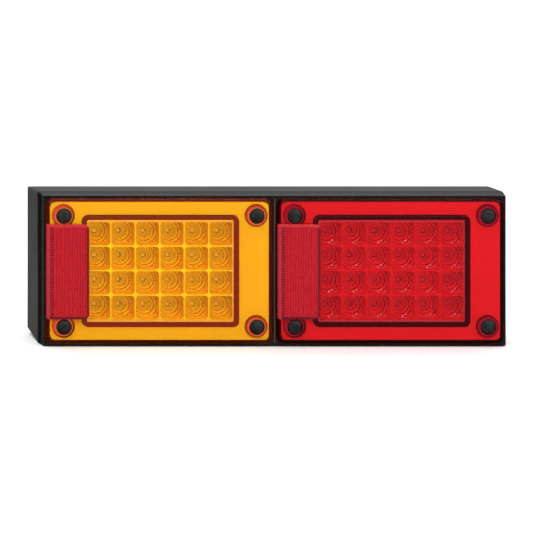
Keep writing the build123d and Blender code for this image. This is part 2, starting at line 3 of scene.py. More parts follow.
import bmesh
import bpy
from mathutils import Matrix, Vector
from mathutils import noise as mnoise


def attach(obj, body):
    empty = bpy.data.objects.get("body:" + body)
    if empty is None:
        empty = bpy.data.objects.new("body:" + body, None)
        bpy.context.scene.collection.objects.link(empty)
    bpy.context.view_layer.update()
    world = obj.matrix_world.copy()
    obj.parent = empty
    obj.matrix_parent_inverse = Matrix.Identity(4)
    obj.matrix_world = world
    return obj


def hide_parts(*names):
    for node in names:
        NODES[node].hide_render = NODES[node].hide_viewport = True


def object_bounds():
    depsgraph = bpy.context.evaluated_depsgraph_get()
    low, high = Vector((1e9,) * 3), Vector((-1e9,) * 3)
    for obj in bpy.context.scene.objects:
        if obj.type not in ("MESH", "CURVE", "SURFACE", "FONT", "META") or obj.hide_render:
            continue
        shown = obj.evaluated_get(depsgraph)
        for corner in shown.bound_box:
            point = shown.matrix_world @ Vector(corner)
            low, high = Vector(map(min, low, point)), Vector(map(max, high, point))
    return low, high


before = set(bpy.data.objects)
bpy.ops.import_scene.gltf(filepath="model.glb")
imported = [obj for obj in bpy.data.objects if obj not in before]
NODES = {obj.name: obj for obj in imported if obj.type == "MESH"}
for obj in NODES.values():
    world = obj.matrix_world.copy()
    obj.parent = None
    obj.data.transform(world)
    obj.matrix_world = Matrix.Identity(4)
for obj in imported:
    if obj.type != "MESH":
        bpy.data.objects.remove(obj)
CAD_LO, CAD_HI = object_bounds()
CAD_LO, CAD_HI = list(CAD_LO), list(CAD_HI)
MM = 0.001
scene = bpy.context.scene

# ------------------------------------------------------------ node helpers ---


class Graph:
    """A thin wrapper that builds one material's node tree."""

    def __init__(self, name):
        self.mat = bpy.data.materials.new(name)
        self.mat.use_nodes = True
        self.nt = self.mat.node_tree
        self.nt.nodes.clear()
        self.out = self.nt.nodes.new("ShaderNodeOutputMaterial")

    def node(self, kind, **values):
        n = self.nt.nodes.new(kind)
        for key, value in values.items():
            setattr(n, key, value)
        return n

    def put(self, socket, value):
        if isinstance(value, bpy.types.NodeSocket):
            self.nt.links.new(value, socket)
        elif value is not None:
            if hasattr(socket.default_value, "__len__") and not hasattr(
                value, "__len__"
            ):
                value = (value,) * len(socket.default_value)
            if (
                hasattr(socket.default_value, "__len__")
                and len(socket.default_value) == 4
                and len(value) == 3
            ):
                value = (*value, 1.0)
            socket.default_value = value
        return socket

    def math(self, op, a, b=None, c=None, clamp=False):
        n = self.node("ShaderNodeMath", operation=op, use_clamp=clamp)
        for i, v in enumerate((a, b, c)):
            if v is not None:
                self.put(n.inputs[i], v)
        return n.outputs[0]

    def position(self):
        return self.node("ShaderNodeTexCoord").outputs["Object"]

    def split(self, vec):
        n = self.node("ShaderNodeSeparateXYZ")
        self.put(n.inputs[0], vec)
        return n.outputs

    def mapping(self, vec, scale=(1, 1, 1), location=(0, 0, 0), rotation=(0, 0, 0)):
        n = self.node("ShaderNodeMapping")
        self.put(n.inputs["Vector"], vec)
        self.put(n.inputs["Scale"], scale)
        self.put(n.inputs["Location"], location)
        self.put(n.inputs["Rotation"], rotation)
        return n.outputs[0]

    def noise(self, vec, scale, detail=3.0, rough=0.55, colour=False):
        n = self.node("ShaderNodeTexNoise")
        self.put(n.inputs["Vector"], vec)
        self.put(n.inputs["Scale"], scale)
        self.put(n.inputs["Detail"], detail)
        self.put(n.inputs["Roughness"], rough)
        return n.outputs["Color" if colour else "Fac"]

    def voronoi(self, vec, scale, feature="F1", out="Distance"):
        n = self.node("ShaderNodeTexVoronoi", feature=feature)
        self.put(n.inputs["Vector"], vec)
        self.put(n.inputs["Scale"], scale)
        return n.outputs[out]

    def ramp(self, value, stops, mode="LINEAR"):
        n = self.node("ShaderNodeValToRGB")
        n.color_ramp.interpolation = mode
        els = n.color_ramp.elements
        while len(els) > 1:
            els.remove(els[-1])
        els[0].position = stops[0][0]
        first = stops[0][1]
        els[0].color = (*first, 1) if hasattr(first, "__len__") else (first,) * 3 + (1,)
        for at, col in stops[1:]:
            e = els.new(at)
            e.color = (*col, 1) if hasattr(col, "__len__") else (col,) * 3 + (1,)
        self.put(n.inputs[0], value)
        return n.outputs[0]

    def rescale(self, value, lo, hi, to_lo, to_hi, kind="LINEAR"):
        n = self.node("ShaderNodeMapRange", interpolation_type=kind)
        self.put(n.inputs["Value"], value)
        for key, v in (
            ("From Min", lo),
            ("From Max", hi),
            ("To Min", to_lo),
            ("To Max", to_hi),
        ):
            self.put(n.inputs[key], v)
        return n.outputs[0]

    def mix(self, fac, a, b, mode="MIX"):
        n = self.node("ShaderNodeMix", data_type="RGBA", blend_type=mode)
        self.put(n.inputs[0], fac)
        self.put(n.inputs[6], a)
        self.put(n.inputs[7], b)
        return n.outputs[2]

    def bump(self, height, strength, distance, normal=None):
        n = self.node("ShaderNodeBump")
        self.put(n.inputs["Height"], height)
        self.put(n.inputs["Strength"], strength)
        self.put(n.inputs["Distance"], distance)
        if normal is not None:
            self.put(n.inputs["Normal"], normal)
        return n.outputs[0]

    def soft_edge(self, radius=0.25 * MM, samples=4):
        n = self.node("ShaderNodeBevel", samples=samples)
        self.put(n.inputs["Radius"], radius)
        return n.outputs[0]

    def edge_mask(self, radius=0.6 * MM, gain=4.0):
        """1 along convex and concave edges, 0 on flats: where the bevelled normal turns away."""
        bevel = self.soft_edge(radius, 6)
        geo = self.node("ShaderNodeNewGeometry")
        d = self.node("ShaderNodeVectorMath", operation="DOT_PRODUCT")
        self.put(d.inputs[0], bevel)
        self.put(d.inputs[1], geo.outputs["Normal"])
        turned = self.math("SUBTRACT", 1.0, d.outputs["Value"])
        return self.math("MULTIPLY", turned, gain, clamp=True)

    def principled(self, **values):
        n = self.node("ShaderNodeBsdfPrincipled")
        for key, value in values.items():
            self.put(n.inputs[key.replace("_", " ")], value)
        return n

    def done(self, shader, volume=None, displacement=None):
        self.nt.links.new(shader, self.out.inputs["Surface"])
        if volume is not None:
            self.nt.links.new(volume, self.out.inputs["Volume"])
        return self.mat


# --------------------------------------------------------------- materials ---


def moulded_black(name, base, tint, rough, grain_mm, grain_depth, wear):
    """Injection-moulded black plastic: spark-eroded grain, faint flow clouds, worn edges."""
    g = Graph(name)
    p = g.position()
    clouds = g.noise(g.mapping(p, scale=(1, 2.2, 1)), 22.0, 4.0, 0.6)
    grain = g.noise(p, 1.0 / (grain_mm * MM), 2.0, 0.6)
    pits = g.voronoi(p, 0.8 / (grain_mm * MM))
    dust = g.noise(p, 900.0, 2.0, 0.7)
    colour = g.mix(g.rescale(clouds, 0.3, 0.7, 0.0, 1.0), base, tint)
    colour = g.mix(
        g.rescale(dust, 0.62, 0.74, 0.0, 0.16), colour, (0.22, 0.215, 0.20)
    )
    edge = g.math("MULTIPLY", g.edge_mask(0.7 * MM, 3.0), g.rescale(clouds, 0.35, 0.6, 0.3, 1.0))
    colour = g.mix(g.math("MULTIPLY", edge, wear), colour, (0.16, 0.155, 0.15))
    r = g.rescale(clouds, 0.3, 0.7, rough - 0.05, rough + 0.06)
    r = g.math("ADD", r, g.rescale(grain, 0.3, 0.7, -0.03, 0.03))
    height = g.math("ADD", g.math("MULTIPLY", grain, 0.7), g.math("MULTIPLY", pits, 0.5))
    normal = g.bump(height, 0.55, grain_depth * MM, g.soft_edge(0.22 * MM, 4))
    b = g.principled(Base_Color=colour, Roughness=r, Normal=normal)
    g.put(b.inputs["IOR"], 1.5)
    return g, b


def housing_material():
    g, b = moulded_black(
        "housing_black_grain", (0.060, 0.0590, 0.0560), (0.076, 0.0745, 0.0710), 0.50, 0.42, 0.035, 0.35
    )
    g.put(b.inputs["Specular IOR Level"], 0.5)
    seam = g.rescale(g.split(g.position())[1], -26.4 * MM, -26.7 * MM, 0.0, 0.85)
    base = b.inputs["Base Color"].links[0].from_socket
    streak = g.noise(g.mapping(g.position(), scale=(0.02, 1.0, 0.02)), 620.0, 3.0, 0.6)
    blot = g.noise(g.mapping(g.position(), scale=(0.25, 1.0, 0.25)), 90.0, 3.0, 0.6)
    base = g.mix(g.rescale(streak, 0.38, 0.62, 0.30, 0.0), base, (0.030, 0.029, 0.028))
    base = g.mix(g.rescale(blot, 0.45, 0.7, 0.0, 0.22), base, (0.115, 0.112, 0.108))
    g.put(b.inputs["Base Color"], g.mix(seam, base, (0.004, 0.004, 0.004)))
    return g.done(b.outputs[0])


def bezel_material():
    g, b = moulded_black(
        "bezel_black_gloss", (0.0045, 0.0042, 0.0040), (0.0075, 0.0070, 0.0068), 0.22, 0.9, 0.006, 0.30
    )
    # painted highlight: the dividing rib's crown is painted paler, where its edge would catch the light
    xyz = g.split(g.position())
    crown = g.math("MULTIPLY", g.math("LESS_THAN", g.math("ABSOLUTE", xyz[0]), 0.52 * MM), g.math("LESS_THAN", xyz[1], -35.2 * MM))
    crown = g.math("MULTIPLY", crown, g.math("LESS_THAN", g.math("ABSOLUTE", xyz[2]), 47.2 * MM))
    base = b.inputs["Base Color"].links[0].from_socket
    base = g.mix(crown, base, (0.075, 0.030, 0.030))
    # the sides are painted paler in a band just behind the front edge
    geo = g.node("ShaderNodeNewGeometry")
    to_side = g.rescale(g.math("ABSOLUTE", g.split(geo.outputs["Normal"])[1]), 0.5, 0.8, 1.0, 0.0)
    outer = g.math("MAXIMUM", g.math("GREATER_THAN", g.math("ABSOLUTE", xyz[0]), 150.2 * MM), g.math("GREATER_THAN", g.math("ABSOLUTE", xyz[2]), 48.4 * MM))
    paler_side_band = g.math("MULTIPLY", g.math("MULTIPLY", to_side, outer), g.rescale(xyz[1], -32.8 * MM, -33.8 * MM, 0.0, 1.0))
    base = g.mix(g.math("MULTIPLY", paler_side_band, 0.62), base, (0.045, 0.036, 0.040))
    g.put(b.inputs["Base Color"], base)
    return g.done(b.outputs[0])


def lens_material(name, xc, tint, absorb, density, shadow_tint, wall, boss, glint, sparks, edge):
    """Polished tinted polycarbonate: coloured by depth, so thick walls go dark, with faint mould flow.
    The drawn walls behind the front plate are etched by the mould, so they scatter their own colour."""
    g = Graph(name)
    p = g.position()
    flow = g.noise(g.mapping(p, scale=(1.0, 1.0, 2.5)), 14.0, 2.0, 0.5)
    fine = g.noise(p, 2600.0, 2.0, 0.6)
    scuff = g.noise(g.mapping(p, scale=(1.0, 1.0, 9.0), rotation=(0, 0.5, 0)), 480.0, 4.0, 0.75)
    xyz = g.split(p)
    # the back of the window is lightly stippled; the rest is polished
    back = g.math("MULTIPLY", g.math("GREATER_THAN", xyz[1], -36.6 * MM), g.math("LESS_THAN", xyz[1], -35.6 * MM))
    in_x = g.math("LESS_THAN", g.math("ABSOLUTE", g.math("SUBTRACT", xyz[0], xc)), 48.2 * MM)
    in_z = g.math("LESS_THAN", g.math("ABSOLUTE", xyz[2]), 33.6 * MM)
    window = g.math("MULTIPLY", back, g.math("MULTIPLY", in_x, in_z))
    # round the screw pockets, told by the distance from the nearest of the four
    off_x = g.math("SUBTRACT", g.math("ABSOLUTE", g.math("SUBTRACT", xyz[0], xc - 0.4 * MM)), 62.9 * MM)
    off_z = g.math("SUBTRACT", g.math("ABSOLUTE", xyz[2]), 36.2 * MM)
    reach = g.math("SQRT", g.math("ADD", g.math("MULTIPLY", off_x, off_x), g.math("MULTIPLY", off_z, off_z)))
    at_boss = g.math("MULTIPLY", g.math("LESS_THAN", reach, 7.35 * MM), g.math("GREATER_THAN", xyz[1], -38.3 * MM))
    deep = g.math("GREATER_THAN", xyz[1], -35.94 * MM)
    drawn = g.math("MAXIMUM", deep, at_boss)
    # the same depth of colour shows at the front face over the window wall and the bosses
    ax = g.math("MAXIMUM", g.math("SUBTRACT", g.math("ABSOLUTE", g.math("SUBTRACT", xyz[0], xc)), 47.0 * MM), 0.0)
    az = g.math("MAXIMUM", g.math("SUBTRACT", g.math("ABSOLUTE", xyz[2]), 32.35 * MM), 0.0)
    out = g.math("SQRT", g.math("ADD", g.math("MULTIPLY", ax, ax), g.math("MULTIPLY", az, az)))
    sight = g.node("ShaderNodeNewGeometry").outputs["Incoming"]
    ray = g.split(sight)
    lean = g.math("MAXIMUM", g.math("ABSOLUTE", ray[1]), 0.35)
    # on the sides turned to the eye the wall shows its inner face too, down to the tray
    wx = g.math("SUBTRACT", xyz[0], g.math("MULTIPLY", g.math("DIVIDE", ray[0], lean), 3.4 * MM))
    wz = g.math("SUBTRACT", xyz[2], g.math("MULTIPLY", g.math("DIVIDE", ray[2], lean), 3.4 * MM))
    bx = g.math("MAXIMUM", g.math("SUBTRACT", g.math("ABSOLUTE", g.math("SUBTRACT", wx, xc)), 47.0 * MM), 0.0)
    bz = g.math("MAXIMUM", g.math("SUBTRACT", g.math("ABSOLUTE", wz), 32.35 * MM), 0.0)
    inner = g.math("MAXIMUM", out, g.math("SQRT", g.math("ADD", g.math("MULTIPLY", bx, bx), g.math("MULTIPLY", bz, bz))))
    over_wall = g.math(
        "MULTIPLY",
        g.rescale(inner, 1.15 * MM, 1.35 * MM, 0.0, 1.0, "SMOOTHSTEP"),
        g.rescale(out, 3.85 * MM, 4.05 * MM, 1.0, 0.0, "SMOOTHSTEP"),
    )
    face = g.math("LESS_THAN", xyz[1], -38.3 * MM)
    # the boss lies behind the plate, so its ring slides under the plug with the line of sight
    sink = g.rescale(xyz[0], xc - 30.0 * MM, xc + 30.0 * MM, -3.0 * MM, -0.9 * MM)
    sx = g.math("ADD", xyz[0], g.math("MULTIPLY", g.math("DIVIDE", ray[0], lean), sink))
    sz = g.math("ADD", xyz[2], g.math("MULTIPLY", g.math("DIVIDE", ray[2], lean), sink))
    seen_x = g.math("SUBTRACT", g.math("ABSOLUTE", g.math("SUBTRACT", sx, xc - 0.4 * MM)), 62.9 * MM)
    seen_z = g.math("SUBTRACT", g.math("ABSOLUTE", sz), 36.2 * MM)
    seen = g.math("SQRT", g.math("ADD", g.math("MULTIPLY", seen_x, seen_x), g.math("MULTIPLY", seen_z, seen_z)))
    near = g.math("LESS_THAN", seen, 7.1 * MM)
    over_boss = g.math("MULTIPLY", face, near)
    over_wall = g.math("MULTIPLY", face, over_wall)
    cloud = g.noise(p, 420.0, 3.0, 0.6)
    drag = g.noise(g.mapping(p, scale=(1.0, 0.06, 1.0)), 1400.0, 3.0, 0.6)
    wall_tone = g.mix(g.rescale(cloud, 0.3, 0.7, 0.0, 0.35), wall, tuple(c * 0.7 for c in wall))
    boss_tone = g.ramp(
        g.rescale(seen, 4.2 * MM, 7.1 * MM, 0.0, 1.0),
        [(0.0, tuple(c * 0.7 for c in boss)), (0.30, boss), (0.72, boss), (0.86, tuple(c * 0.62 for c in boss)), (1.0, tuple(c * 0.5 for c in boss))],
    )
    # the side of the ring away from the window takes more light
    side_lit = g.rescale(g.math("SUBTRACT", sx, g.math("MULTIPLY", g.math("SIGN", g.math("SUBTRACT", sx, xc)), 62.9 * MM)), xc - 5.0 * MM, xc + 5.0 * MM, 0.0, 1.0)
    boss_tone = g.mix(g.math("MULTIPLY", side_lit, 0.42), boss_tone, tuple(c * 0.35 for c in boss))
    # painted shade: a hair of shadow round the plug, then a painted highlight as a thin pale rim
    collar = g.math("MULTIPLY", g.math("LESS_THAN", reach, 5.16 * MM), face)
    pale = g.math("MULTIPLY", g.rescale(reach, 5.16 * MM, 5.26 * MM, 0.0, 1.0), g.rescale(reach, 5.5 * MM, 5.75 * MM, 0.35, 0.0))
    boss_tone = g.mix(pale, boss_tone, glint)
    boss_tone = g.mix(collar, boss_tone, tuple(c * 0.2 for c in boss))
    wall_tone = g.mix(g.math("MAXIMUM", at_boss, over_boss), wall_tone, boss_tone)
    # a painted highlight: a thin light line painted on the face where the plate meets the inside of the window wall
    line = g.math(
        "MULTIPLY",
        g.rescale(inner, 0.25 * MM, 0.60 * MM, 0.0, 1.0),
        g.rescale(inner, 1.15 * MM, 1.25 * MM, 1.0, 0.0),
    )
    line = g.math("MULTIPLY", face, line)
    wall_tone = g.mix(line, wall_tone, g.mix(g.rescale(inner, 0.55 * MM, 0.75 * MM, 0.0, 1.0), tuple(c * 0.86 for c in glint), glint))
    veiled = g.math("MAXIMUM", g.math("MAXIMUM", drawn, line), g.math("MAXIMUM", over_boss, over_wall))
    colour = g.mix(veiled, tint, wall_tone)
    # painted glints: a few small pale dots painted on the face low in each cell, in place of the glints of pillow
    # optics behind it
    gx = g.math("SUBTRACT", g.math("FLOORED_MODULO", g.math("ADD", g.math("MULTIPLY", g.math("SUBTRACT", xyz[0], xc), 1000.0), 48.0), 16.0), 8.0)
    gz = g.math("SUBTRACT", g.math("FLOORED_MODULO", g.math("MULTIPLY", g.math("ADD", xyz[2], 32.0 * MM), 1000.0), 16.0), 8.0)
    inside = g.math("MULTIPLY", g.math("LESS_THAN", g.math("ABSOLUTE", g.math("SUBTRACT", xyz[0], xc)), 48.0 * MM), g.math("LESS_THAN", g.math("ABSOLUTE", xyz[2]), 32.0 * MM))
    patchy = g.noise(p, 150.0, 2.0, 0.6)
    painted_glints = None
    for k, (dx, dz, size, power) in enumerate(((-1.4, -5.1, 0.85, 0.9), (0.7, -3.8, 0.75, 1.0), (3.0, -4.8, 0.55, 0.7), (1.2, -5.9, 0.5, 0.5), (-0.4, -3.9, 0.45, 0.4))):
        ex = g.math("SUBTRACT", gx, dx)
        ez = g.math("SUBTRACT", gz, dz)
        far = g.math("SQRT", g.math("ADD", g.math("MULTIPLY", ex, ex), g.math("MULTIPLY", ez, ez)))
        dot = g.math("MULTIPLY", g.rescale(far, size * 0.3, size, 1.0, 0.0, "SMOOTHSTEP"), power)
        painted_glints = dot if painted_glints is None else g.math("MAXIMUM", painted_glints, dot)
    painted_glints = g.math("MULTIPLY", painted_glints, g.rescale(patchy, 0.35, 0.65, 0.35, 1.0))
    painted_glints = g.math("MULTIPLY", painted_glints, g.math("MULTIPLY", inside, face))
    painted_glints = g.math("MULTIPLY", painted_glints, sparks)
    colour = g.mix(painted_glints, colour, (1.0, 0.62, 0.66))
    stipple = g.voronoi(p, 1500.0, "SMOOTH_F1")
    geo = g.node("ShaderNodeNewGeometry")
    n_y = g.math("ABSOLUTE", g.split(geo.outputs["Normal"])[1])
    rolled = g.math("MULTIPLY", g.rescale(n_y, 0.80, 0.985, 1.0, 0.0), g.math("LESS_THAN", xyz[1], -35.94 * MM))
    flow = g.math("MULTIPLY", flow, g.math("SUBTRACT", 1.0, rolled))
    height = g.math("ADD", g.math("MULTIPLY", flow, 0.5), g.math("MULTIPLY", g.math("MULTIPLY", stipple, window), 0.9))
    height = g.math("ADD", height, g.math("MULTIPLY", g.math("MULTIPLY", drag, drawn), 0.25))
    normal = g.bump(height, 0.30, 0.05 * MM)
    rough = g.math("ADD", g.rescale(scuff, 0.58, 0.80, 0.012, 0.10), g.rescale(fine, 0.4, 0.6, 0.0, 0.01))
    rough = g.math("ADD", rough, g.math("MULTIPLY", drawn, 0.3))
    rough = g.math("ADD", rough, g.math("MULTIPLY", rolled, 0.24))
    through = g.math("SUBTRACT", 1.0, g.math("MULTIPLY", drawn, 0.78))
    through = g.math("MINIMUM", through, g.math("SUBTRACT", 1.0, g.math("MULTIPLY", over_wall, 0.62)))
    through = g.math("MINIMUM", through, g.math("SUBTRACT", 1.0, g.math("MULTIPLY", over_boss, 0.72)))
    through = g.math("MINIMUM", through, g.math("SUBTRACT", 1.0, g.math("MULTIPLY", line, 0.55)))
    through = g.math("MINIMUM", through, g.math("SUBTRACT", 1.0, g.math("MULTIPLY", painted_glints, 0.7)))
    glass = g.principled(Base_Color=colour, Roughness=rough, Normal=normal, Transmission_Weight=through)
    g.put(glass.inputs["IOR"], 1.49)
    g.put(glass.inputs["Specular IOR Level"], g.rescale(rolled, 0.0, 1.0, 0.4, 0.2))
    g.put(glass.inputs["Specular Tint"], g.mix(rolled, (1.0, 1.0, 1.0), edge))
    clear = g.node("ShaderNodeBsdfTransparent")
    g.put(clear.inputs["Color"], shadow_tint)
    path = g.node("ShaderNodeLightPath")
    mix = g.node("ShaderNodeMixShader")
    g.nt.links.new(path.outputs["Is Shadow Ray"], mix.inputs[0])
    g.nt.links.new(glass.outputs[0], mix.inputs[1])
    g.nt.links.new(clear.outputs[0], mix.inputs[2])
    vol = g.node("ShaderNodeVolumeAbsorption")
    g.put(vol.inputs["Color"], absorb)
    g.put(vol.inputs["Density"], density)
    return g.done(mix.outputs[0], vol.outputs[0])


def backing_material(name, tone):
    g = Graph(name)
    p = g.position()
    clouds = g.noise(p, 30.0, 3.0)
    grain = g.noise(p, 3200.0, 2.0)
    colour = g.mix(g.rescale(clouds, 0.3, 0.7, 0, 1), tone, tuple(c * 0.95 for c in tone))
    # the white field is painted dark outside rounded corners, so it stops short of the corners
    xyz = g.split(p)
    qx = g.math("MAXIMUM", g.math("SUBTRACT", g.math("ABSOLUTE", g.math("SUBTRACT", g.math("ABSOLUTE", xyz[0]), 75.4 * MM)), 68.0 * MM), 0.0)
    qz = g.math("MAXIMUM", g.math("SUBTRACT", g.math("ABSOLUTE", xyz[2]), 41.6 * MM), 0.0)
    corner = g.math("SQRT", g.math("ADD", g.math("MULTIPLY", qx, qx), g.math("MULTIPLY", qz, qz)))
    both = g.math("MULTIPLY", g.math("GREATER_THAN", qx, 0.0), g.math("GREATER_THAN", qz, 0.0))
    colour = g.mix(g.math("MULTIPLY", both, g.rescale(corner, 3.0 * MM, 3.3 * MM, 0.0, 1.0)), colour, (0.05, 0.03, 0.03))
    b = g.principled(
        Base_Color=colour,
        Roughness=g.rescale(clouds, 0.3, 0.7, 0.38, 0.5),
        Normal=g.bump(grain, 0.3, 0.01 * MM),
    )
    return g.done(b.outputs[0])


def tray_material(name, x0, land, floor_tone, wall_tone, wall_right, glints, warm):
    """Bright metallised plastic: stepped rings round each LED hole, drawn walls, plain bright lands, with light and
    shade painted on the rings, walls and lip.
    """
    g = Graph(name)
    p = g.position()
    xyz = g.split(p)
    clouds = g.noise(p, 60.0, 3.0)
    peel = g.noise(p, 1500.0, 2.0)
    haze = g.noise(p, 420.0, 3.0, 0.7)
    grit = g.noise(p, 1100.0, 2.0, 0.7)
    # place inside one cell, in millimetres from its LED
    lx = g.math("SUBTRACT", g.math("FLOORED_MODULO", g.math("MULTIPLY", g.math("SUBTRACT", xyz[0], x0 * MM), 1000.0), 16.0), 8.0)
    lz = g.math("SUBTRACT", g.math("FLOORED_MODULO", g.math("MULTIPLY", g.math("ADD", xyz[2], 32.0 * MM), 1000.0), 16.0), 8.0)
    r = g.math("SQRT", g.math("ADD", g.math("MULTIPLY", lx, lx), g.math("MULTIPLY", lz, lz)))
    angle = g.math("ARCTAN2", lz, lx)
    # painted light and shade: pale and dark arcs on the stepped rings, dark where one ring steps to the next
    wob = g.math("ADD", r, g.rescale(haze, 0.3, 0.7, -0.12, 0.12))
    rings = g.ramp(
        g.math("DIVIDE", wob, 11.0),
        [
            (0.0, 0.95), (0.165, 0.98), (0.178, 0.92), (0.19, 1.28), (0.225, 1.24), (0.245, 0.76), (0.27, 1.04), (0.30, 1.14),
            (0.33, 0.96), (0.36, 1.24), (0.385, 1.10), (0.40, 0.42), (0.425, 1.26), (0.50, 1.22), (0.565, 0.96),
            (0.585, 0.42), (0.61, 1.28), (0.68, 1.16), (0.72, 0.90), (0.738, 0.46), (0.765, 1.12), (0.86, 0.90), (1.0, 0.86),
        ],
    )
    # painted light and shade on the radial facets of the outer rings, with a random painted sparkle
    f24 = g.math("COSINE", g.math("MULTIPLY", angle, 24.0))
    f32 = g.math("COSINE", g.math("MULTIPLY", angle, 32.0))
    in2 = g.math("MULTIPLY", g.math("GREATER_THAN", r, 4.5), g.math("LESS_THAN", r, 6.4))
    in3 = g.math("GREATER_THAN", r, 6.5)
    dash = g.math("ADD", g.math("MULTIPLY", f24, g.math("MULTIPLY", in2, 0.16)), g.math("MULTIPLY", f32, g.math("MULTIPLY", in3, 0.20)))
    spark = g.split(g.voronoi(p, 1250.0, out="Color"))[0]
    dash = g.math("ADD", dash, g.math("MULTIPLY", g.rescale(spark, 0.0, 1.0, -0.5, 0.5), g.math("ADD", 0.10, g.math("MULTIPLY", in3, 0.28))))
    tone = g.math("ADD", rings, dash)
    # the rings read best on the side away from the light
    facing = g.math("DIVIDE", g.math("SUBTRACT", g.math("MULTIPLY", lx, 0.9), g.math("MULTIPLY", lz, 0.4)), g.math("MAXIMUM", r, 0.5))
    tone = g.math("ADD", 1.0, g.math("MULTIPLY", g.math("SUBTRACT", tone, 1.0), g.rescale(facing, -0.5, 0.7, 0.5, 1.25 + 0.55 * warm)))
    # the deep corner under the top and left walls is lit off the other two
    tone = g.math("MULTIPLY", tone, g.rescale(g.math("SUBTRACT", lx, lz), -7.0, 9.0, 1.14, 0.90))
    geo = g.node("ShaderNodeNewGeometry")
    n = g.split(geo.outputs["True Normal"])
    steep = g.rescale(g.math("ABSOLUTE", n[1]), 0.25, 0.6, 1.0, 0.0)
    outer = g.math("GREATER_THAN", r, 6.2)
    walls = g.math("MULTIPLY", g.math("MULTIPLY", steep, outer), g.math("LESS_THAN", xyz[1], -28.0 * MM))
    on_land = g.math("MULTIPLY", g.math("LESS_THAN", xyz[1], -34.35 * MM), g.math("SUBTRACT", 1.0, steep))
    floor_c = g.mix(g.rescale(grit, 0.35, 0.65, 0, 1), floor_tone, tuple(c * 0.86 for c in floor_tone))
    # the painted shade on the steps keeps more of its red as it darkens, by the amount warm
    red_tone = g.math("ADD", warm, g.math("MULTIPLY", tone, 1.0 - warm))
    both = g.node("ShaderNodeCombineXYZ")
    g.put(both.inputs[0], red_tone)
    g.put(both.inputs[1], tone)
    g.put(both.inputs[2], tone)
    both = both.outputs[0]
    shade = g.node("ShaderNodeVectorMath", operation="MULTIPLY")
    g.put(shade.inputs[0], floor_c)
    g.put(shade.inputs[1], both)
    right = g.math("MULTIPLY", walls, g.math("LESS_THAN", n[0], -0.3))
    # painted shade: the walls darken just under the lip of each cell
    lip_shade = g.math("MULTIPLY", walls, g.rescale(xyz[1], -33.9 * MM, -32.6 * MM, 0.42, 0.0))
    # facets that catch the light, low in each cell
    low = g.math("MULTIPLY", g.rescale(lz, -1.6, -2.6, 0.0, 1.0), g.rescale(lz, -5.4, -4.6, 0.0, 1.0))
    low = g.math("MULTIPLY", low, g.math("MULTIPLY", g.rescale(lx, -0.5, 0.6, 0.0, 1.0), g.rescale(lx, 5.6, 4.6, 0.0, 1.0)))
    caught = g.math("MULTIPLY", low, g.rescale(g.split(g.voronoi(p, 800.0, out="Color"))[1], 0.70, 0.78, 0.0, 1.0))
    column = g.math("FLOOR", g.math("DIVIDE", g.math("MULTIPLY", g.math("SUBTRACT", xyz[0], x0 * MM), 1000.0), 16.0))
    second = g.math("LESS_THAN", g.math("ABSOLUTE", g.math("SUBTRACT", column, 1.0)), 0.5)
    # painted highlight: a pale arc beside each LED, plainest in the second column
    highlight_arc = g.math("MULTIPLY", g.rescale(r, 1.9, 2.05, 0.0, 1.0), g.rescale(r, 2.45, 2.6, 1.0, 0.0))
    highlight_arc = g.math("MULTIPLY", highlight_arc, g.rescale(g.math("ADD", lx, g.math("MULTIPLY", lz, 0.25)), 0.1, 1.0, 0.0, 1.0))
    highlight_arc = g.math("MULTIPLY", highlight_arc, g.math("ADD", 0.15, g.math("MULTIPLY", second, 0.6)))
    lit = g.mix(highlight_arc, shade.outputs[0], (1.0, 1.0, 1.0))
    # the deep walls take a darker tone than the floor; the walls that face left get a painted shade, darker and redder
    # still
    colour = g.mix(walls, lit, wall_tone)
    colour = g.mix(g.math("MULTIPLY", caught, glints), colour, (1.0, 1.0, 1.0))
    colour = g.mix(right, colour, wall_right)
    colour = g.mix(lip_shade, colour, tuple(c * 0.42 for c in wall_tone))
    mid_x = x0 * MM + 48.0 * MM
    outside = g.math(
        "MAXIMUM",
        g.math("GREATER_THAN", g.math("ABSOLUTE", g.math("SUBTRACT", xyz[0], mid_x)), 47.6 * MM),
        g.math("GREATER_THAN", g.math("ABSOLUTE", xyz[2]), 33.0 * MM),
    )
    outside = g.math("MULTIPLY", outside, g.rescale(g.math("ABSOLUTE", n[1]), 0.25, 0.6, 1.0, 0.0))
    colour = g.mix(outside, colour, g.mix(g.rescale(haze, 0.35, 0.65, 0.0, 1.0), (0.80, 0.79, 0.76), (0.70, 0.69, 0.67)))
